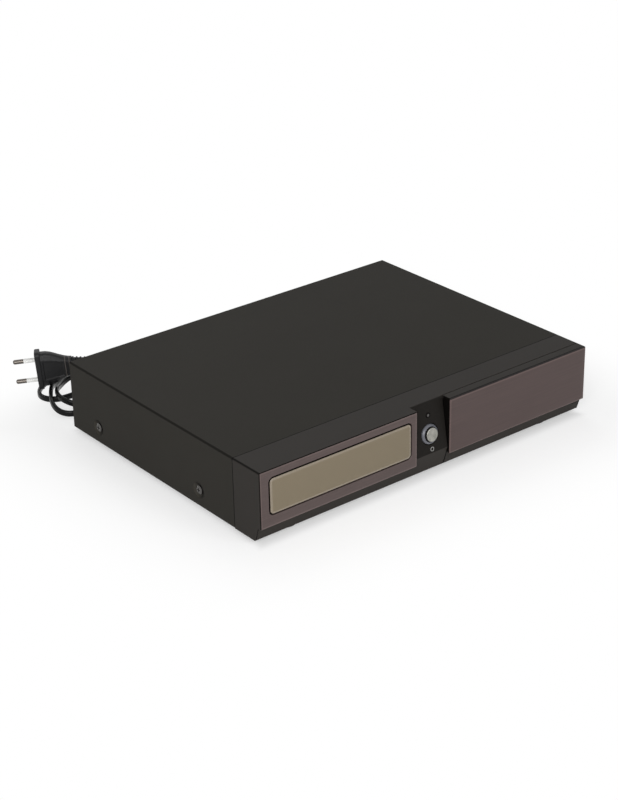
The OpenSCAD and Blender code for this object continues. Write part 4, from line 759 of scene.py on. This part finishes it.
def make_tie():
    """Flat tie round the coil's section, and its twisted end: a ribbon whose width turns as it runs out."""
    radial = np.array([math.cos(TIE_TURN), math.sin(TIE_TURN), 0])
    across = np.array([-math.sin(TIE_TURN), math.cos(TIE_TURN), 0])
    up = np.array([0, 0, 1])
    centre = BUSH + np.array([COIL_X, COIL_Y, 0])
    x0, x1, z0, z1 = TIE_BOX
    rows = []
    for grow, side in ((0, -TIE_HALF), (0, TIE_HALF), (TIE_SKIN, TIE_HALF), (TIE_SKIN, -TIE_HALF)):
        ring = outline((x0 - grow, x1 + grow, z0 - grow, z1 + grow), TIE_RADII)
        rows.append(centre + ring[:, :1] * radial + ring[:, 1:] * up + side * across)
    band = surface("tie_band", np.array(rows), wrap_u=True, wrap_v=True, sharp=40)
    t = np.linspace(0, 1, 60)
    middle = centre + (36.8 + 15 * t)[:, None] * radial + (6.5 - 4.3 * smooth_step(t * 1.2))[:, None] * up
    angle = 5 * np.pi * t
    wide = np.cos(angle)[:, None] * across + np.sin(angle)[:, None] * up
    thin = np.cos(angle)[:, None] * up - np.sin(angle)[:, None] * across
    corners = [middle + a * TWIST_HALF * wide + b * TWIST_THIN * thin for a, b in CORNERS]
    twist = surface("tie_twist", with_ends(np.stack(corners, axis=1)), wrap_v=True, sharp=40)
    return joined("coil_tie", [band, twist])


tie = add(make_tie(), "chassis", FINISHES["inner_plastic"])


# Front plates and display window

FRONT_AT = np.array([0, Y_FRONT, 0])
FRONT = np.array([0, -1, 0])
PANEL_DEEP = 0.5
PANEL_BACK = 3
PANEL_RADII = (0.5,) * 4
WINDOW_RADII = (WINDOW_R,) * 4
FLAP_RADII = (1.6, 0.6, 0.5, 0.5)
LENS_FACE = 0.06


def make_panel():
    """Plate with a hole: outlines from its back over a rolled rim and its face into the window and back."""
    rows = [at_depth(outline(PANEL_BOX, PANEL_RADII), PANEL_BACK)]
    rows += [at_depth(outline(PANEL_BOX, PANEL_RADII, inset), PANEL_DEEP + depth)
             for inset, depth in rolled_edge(0.45)]
    rows += [at_depth(outline(WINDOW_BOX, WINDOW_RADII, -inset), PANEL_DEEP + depth)
             for inset, depth in rolled_edge(0.4)[::-1]]
    rows.append(at_depth(outline(WINDOW_BOX, WINDOW_RADII), PANEL_BACK))
    return surface("panel_face", np.array(rows), wrap_u=True, wrap_v=True, sharp=40)


def make_flap_face():
    """Plate of nested outlines from its back edge over a rolled rim to the middle of its face."""
    rows = [(0, 1.5)] + rolled_edge(0.8) + [(6, 0), (12, 0), (18, 0), (23.6, 0)]
    rings = [at_depth(outline(FLAP_BOX, FLAP_RADII, inset), depth) for inset, depth in rows]
    return surface("flap_face", capped(rings, (FLAP_BOX[2] + FLAP_BOX[3]) / 2), wrap_v=True, sharp=40)


def make_window():
    """Tinted plate with a flange behind the panel: nested outlines that step back round its bevel."""
    rows = [(-1.65, 4.15), (-1.65, 3.05), (1.25, 3.05), (1.25, 0.75), (1.35, 0.5), (1.65, 0.3), (2.2, 0.14)]
    rows += [(inset, LENS_FACE) for inset in (2.9, 5, 9, 13, 15.8)]
    rings = [at_depth(outline(WINDOW_BOX, WINDOW_RADII, inset), depth) for inset, depth in rows]
    return surface("window_lens", capped(rings, (WINDOW_BOX[2] + WINDOW_BOX[3]) / 2), wrap_v=True, sharp=60)


# The panel gets the lighter copy of the brown metal: painted light
add(make_panel(), "chassis", TRIM["panel_metal_lit"], ("display_panel",))
flap_face = add(make_flap_face(), "flap", FINISHES["brown_metal"], ("flap_skin",))
# Painted shade: the flap's sides behind its rolled rim turn near black
shade_below(flap_face, TRIM["dark_trim_and_painted_shade"], FRONT_AT, FRONT, -0.6)
lens = add(make_window(), "chassis", FINISHES["display_tint"], ("display_lens",))
# Painted highlight on the lens's bevel, and painted shade on its side walls and flange
shade_below(lens, TRIM["lens_edge_highlight"], FRONT_AT, FRONT, -0.09)
shade_below(lens, TRIM["dark_trim_and_painted_shade"], FRONT_AT, FRONT, -0.8)


# Power button, its ring, the small mark under it and the rim of the sensor

STRIP_UP = (STRIP_TOP - STRIP_NOSE) / np.linalg.norm(STRIP_TOP - STRIP_NOSE)
STRIP_OUT = np.cross(np.array([1.0, 0.0, 0.0]), STRIP_UP)
BUTTON_Z = 36.5
BUTTON_R = 5.9
MARK_Z = 23.8
MARK_RIGHT = 0.9
SENSOR_Z = 52


def on_strip(height, right=0):
    """Point on the leaning strip at that height and that far right of its middle."""
    share = (height - STRIP_NOSE[2]) / (STRIP_TOP[2] - STRIP_NOSE[2])
    return STRIP_NOSE + (STRIP_TOP - STRIP_NOSE) * share + np.array([right, 0, 0])


def turned_on_strip(name, profile, height, count=48, right=0):
    """Closed profile turned about the line that stands out of the strip at that point."""
    grid = placed(turned(profile, count), on_strip(height, right), STRIP_OUT)
    return surface(name, grid, wrap_u=True, wrap_v=True, sharp=50)


def make_button():
    """Turned cap: a shallow crown, a rolled rim, a straight side, a collar and a stem."""
    profile = [(0, 3.12), (1.5, 3.14), (3, 3.2), (4, 3.27), (4.7, 3.3), (5.25, 3.22), (5.6, 3.02),
               (5.8, 2.72), (BUTTON_R, 2.35), (BUTTON_R, -2.5), (7.1, -2.5), (7.1, -3.5), (2, -3.5), (2, -12),
               (0, -12)]
    grid = placed(turned(profile, 96), on_strip(BUTTON_Z), STRIP_OUT)
    return surface("button_cap", grid, wrap_v=True, sharp=50)


def make_ring():
    """Turned ring that rises from the strip to its inner edge, with both edges rolled."""
    profile = [(6.2, -1.6), (8.15, -1.6), (8.15, 0.02), (8.1, 0.2), (7.95, 0.4), (7.05, 1.5), (6.85, 1.6),
               (6.6, 1.58), (6.45, 1.44), (6.35, 1.2)]
    return turned_on_strip("ring_face", profile, BUTTON_Z, 96)


def make_mark():
    """Thin flat ring let into the strip under the button."""
    profile = [(1.28, -0.3), (1.28, 0.08), (1.36, 0.12), (1.72, 0.12), (1.8, 0.08), (1.8, -0.3)]
    return turned_on_strip("light_ring", profile, MARK_Z, right=MARK_RIGHT)


def make_sensor_rim():
    """Dark turned ring over the edge of the sensor's lens."""
    profile = [(1.15, -0.2), (2.3, -0.2), (2.3, 0.1), (2.15, 0.3), (1.4, 0.5), (1.15, 0.45)]
    return turned_on_strip("sensor_rim", profile, SENSOR_Z)


button = add(make_button(), "power_button", FINISHES["button_silver"], ("power_button",))
# Painted shade on the cap's side and the outer part of its rolled rim
shade_below(button, TRIM["cap_side_shade"], on_strip(BUTTON_Z), STRIP_OUT, 3)
add(make_ring(), "chassis", FINISHES["ring_grey"], ("button_ring",))
add(make_mark(), "chassis", TRIM["mark_pale"])
add(make_sensor_rim(), "chassis", TRIM["dark_trim_and_painted_shade"])


# Keys behind the flap: a raised generic mark on each

KEY_XS = [26.3, 38.3, 50.3, 62.3, 74.3]
KEY_Z = 47
KEY_FACE = Y_FRONT + 8
SIGN_LINE = 0.5
SIGN_WIDE = 2.6


def bar(x, z, wide, high):
    """Rectangle of that size about (x, z)."""
    return [(x - wide / 2, z - high / 2), (x + wide / 2, z - high / 2), (x + wide / 2, z + high / 2),
            (x - wide / 2, z + high / 2)]


def make_key_marks():
    """Arrow up, arrow down, plus, minus and three lines, each a thin prism on its key."""
    x = KEY_XS
    shapes = {
        "channel_up_key": [[(x[0] - 1.5, KEY_Z - 1), (x[0] + 1.5, KEY_Z - 1), (x[0], KEY_Z + 1.3)]],
        "channel_down_key": [[(x[1] - 1.5, KEY_Z + 1), (x[1], KEY_Z - 1.3), (x[1] + 1.5, KEY_Z + 1)]],
        "volume_up_key": [bar(x[2], KEY_Z, SIGN_WIDE, SIGN_LINE), bar(x[2], KEY_Z + 0.78, SIGN_LINE, 1.06),
                          bar(x[2], KEY_Z - 0.78, SIGN_LINE, 1.06)],
        "volume_down_key": [bar(x[3], KEY_Z, SIGN_WIDE, SIGN_LINE)],
        "menu_key": [bar(x[4], KEY_Z + k, 2.8, 0.4) for k in (-0.9, 0, 0.9)],
    }
    for key, outlines in shapes.items():
        parts = [prism("mark", points, KEY_FACE - 0.06, KEY_FACE + 0.2) for points in outlines]
        piece = joined(key + "_mark", parts) if len(parts) > 1 else parts[0]
        piece.name = key + "_mark"
        add(piece, key, TRIM["print_white"])


make_key_marks()


# Sockets on the rear panel

PHONO_XS = [99, 112]
PHONO_ZS = [20.1, 33.1, 46.1]
F_XS = [-42.5, -22.5, 3, 23]
F_Z = 20.1
F_CUP = Y_REAR + 9 - 3
THREAD_PITCH = 0.42
THREAD_CREST = 4.9
THREAD_ROOT = 4.72
NETWORK_X = 156.25
CONTACTS = 8
CONTACT_PITCH = 1.02
CONTACT_HALF = 0.2
CONTACT_THIN = 0.12
LIGHT_OFF = 5.4
BACK = np.array([0.0, 1.0, 0.0])


def turned_at(name, profile, x, y, z):
    """Closed profile turned about the line through (x, z) that runs out of the rear panel from y."""
    return surface(name, placed(turned(profile, 48), (x, y, z), BACK), wrap_u=True, wrap_v=True, sharp=40)


def make_phono():
    """Coloured collar round the root of each barrel, and an insulator with a hole in its open end."""
    collar = [(4.18, 0.1), (5.6, 0.1), (5.6, 1.75), (5.5, 1.98), (5.3, 2.08), (4.4, 2.08), (4.18, 1.9)]
    plate = [(1.72, 8.2), (3.3, 8.2), (3.3, 8.6), (3.2, 8.68), (1.95, 8.68), (1.72, 8.5)]
    for z, colour in zip(PHONO_ZS, ("collar_red", "collar_white", "collar_yellow")):
        parts = [turned_at("collar", collar, x, PANEL_OUT, z) for x in PHONO_XS]
        parts += [turned_at("plate", plate, x, PANEL_OUT, z) for x in PHONO_XS]
        add(joined("phono_" + colour, parts), "chassis", TRIM[colour])


def make_f_ends():
    """Thread on each aerial socket, a zigzag profile turned round it, and the pale insulator in its cup."""
    heights = np.arange(3.2, 9.4, THREAD_PITCH)
    thread = [(4.6, 2.7), (THREAD_ROOT, 2.8)]
    thread += [(THREAD_CREST if k % 2 else THREAD_ROOT, float(h)) for k, h in enumerate(heights)]
    thread += [(4.6, 9.6)]
    threads = [turned_at("thread", thread, x, PANEL_OUT, F_Z) for x in F_XS]
    add(joined("f_threads", threads), "chassis", FINISHES["socket_metal"])
    plate = [(0.55, -0.2), (3.4, -0.2), (3.4, 0.9), (3.2, 1.05), (0.9, 1.05), (0.55, 0.7)]
    plates = [turned_at("plate", plate, x, F_CUP, F_Z) for x in F_XS]
    add(joined("f_insulators", plates), "chassis", TRIM["insulator"])


def make_network():
    """Eight spring contacts that slope into the port, and two small light windows over it."""
    run = np.array([(SOCKET_FRONT - 1.5, 22.9), (SOCKET_FRONT - 3, 22.7), (SOCKET_FRONT - 8, 20.2),
                    (SOCKET_FRONT - 9.5, 20.2)])
    parts = []
    for k in range(CONTACTS):
        x = NETWORK_X + (k - (CONTACTS - 1) / 2) * CONTACT_PITCH
        rows = [np.stack([np.full(4, x + sx * CONTACT_HALF), run[:, 0], run[:, 1] + sz * CONTACT_THIN],
                         axis=-1) for sx, sz in CORNERS]
        parts.append(surface("contact", with_ends(np.stack(rows, axis=1)), wrap_v=True))
    add(joined("network_contacts", parts), "chassis", TRIM["contact_gold"])
    for side, colour in ((-1, "light_green"), (1, "light_amber")):
        middle = NETWORK_X + side * LIGHT_OFF
        window = outline((middle - 1.4, middle + 1.4, 24.3, 25.7), (0.4,) * 4)
        light = prism("network_" + colour, window, SOCKET_FRONT - 0.3, SOCKET_FRONT + 0.12)
        add(light, "chassis", TRIM[colour])


make_phono()
make_f_ends()
make_network()


# Floor, world and lamps

WORLD_LIGHT = 0.25
FLOOR_SIZE = 6000
FLOOR_GREY = 0.93
# Painted light: the floor's glow is an emission that lights the box from below, faded out under the box
FLOOR_GLOW = 0.3
GLOW_FROM = -8
GLOW_FULL = 5
WHITE_FROM = 2
WHITE_FULL = 120
WHITE_NEAR = 0.35
LAMPS = [("corner_lamp", (-0.98, -0.98, 0.66), 0.9, 11), ("front_lamp", (0.3, -2.0, 1.2), 1.4, 15),
         ("rear_lamp", (0.5, 1.5, 1.5), 1.4, 4.5)]
LAMP_AIM = (0, 0, 0.03)


def seen_directly(tree):
    """1 for rays from the camera, from gloss and through clear pieces, else 0."""
    path = tree.nodes.new("ShaderNodeLightPath")
    seen = reckon(tree, "MAXIMUM", path.outputs["Is Camera Ray"], path.outputs["Is Glossy Ray"])
    return reckon(tree, "MAXIMUM", seen, path.outputs["Is Transmission Ray"])


def mix_shaders(tree, share, first, second, out):
    """Links a mix of two shaders to an output's surface: the first at share 0, the second at 1."""
    mix = tree.nodes.new("ShaderNodeMixShader")
    for socket, value in zip(mix.inputs, (share, first, second)):
        tree.links.new(value, socket)
    tree.links.new(mix.outputs[0], out.inputs["Surface"])


def make_floor():
    """Pale floor that keeps its shadow and, where seen, turns white away from the box. Its glow is painted
    light that also lights the box from below; the glow fades out under the box, which leaves the floor dark
    there.
    """
    corner = FLOOR_SIZE * np.array([[-1, -1, 0], [1, -1, 0], [-1, 1, 0], [1, 1, 0]])
    floor = surface("floor", corner.reshape(2, 2, 3))
    material = bpy.data.materials.new("pale_floor")
    material.use_nodes = True
    tree = material.node_tree
    tree.nodes.clear()
    out = tree.nodes.new("ShaderNodeOutputMaterial")
    cloth = tree.nodes.new("ShaderNodeBsdfDiffuse")
    cloth.inputs["Color"].default_value = (FLOOR_GREY, FLOOR_GREY, FLOOR_GREY, 1)
    glow = tree.nodes.new("ShaderNodeEmission")
    both = tree.nodes.new("ShaderNodeAddShader")
    tree.links.new(cloth.outputs[0], both.inputs[0])
    tree.links.new(glow.outputs[0], both.inputs[1])
    white = tree.nodes.new("ShaderNodeEmission")
    white.inputs["Strength"].default_value = 1.0
    x, y, _ = object_axes(tree)
    beside = reckon(tree, "SUBTRACT", distance(tree, x, 0), HALF_W * MM)
    off_middle = distance(tree, y, (Y_FRONT + Y_REAR) / 2)
    before = reckon(tree, "SUBTRACT", off_middle, (Y_REAR - Y_FRONT) / 2 * MM)
    away = reckon(tree, "MAXIMUM", beside, before)
    tree.links.new(fade(tree, away, GLOW_FROM, GLOW_FULL, 0, FLOOR_GLOW), glow.inputs["Strength"])
    far = fade(tree, away, WHITE_FROM, WHITE_FULL, WHITE_NEAR, 1)
    mix_shaders(tree, product(tree, far, seen_directly(tree)), both.outputs[0], white.outputs[0], out)
    floor.data.materials.append(material)


def make_world():
    """Weak even light on the object, and white where the room itself is seen."""
    world = bpy.data.worlds.new("white_room")
    world.use_nodes = True
    bpy.context.scene.world = world
    tree = world.node_tree
    tree.nodes.clear()
    out = tree.nodes.new("ShaderNodeOutputWorld")
    sky = []
    for strength in (WORLD_LIGHT, 1.0):
        node = tree.nodes.new("ShaderNodeBackground")
        node.inputs["Color"].default_value = (1, 1, 1, 1)
        node.inputs["Strength"].default_value = strength
        sky.append(node.outputs[0])
    mix_shaders(tree, seen_directly(tree), sky[0], sky[1], out)


def make_lamps():
    """Round soft lamps that point at the object."""
    for name, place, size, power in LAMPS:
        data = bpy.data.lights.new(name, "AREA")
        data.shape = "DISK"
        data.size = size
        data.energy = power
        lamp = bpy.data.objects.new(name, data)
        lamp.location = place
        lamp.rotation_euler = (Vector(LAMP_AIM) - Vector(place)).to_track_quat("-Z", "Y").to_euler()
        bpy.context.scene.collection.objects.link(lamp)


make_floor()
make_world()
make_lamps()
bpy.context.scene.view_settings.view_transform = "Standard"
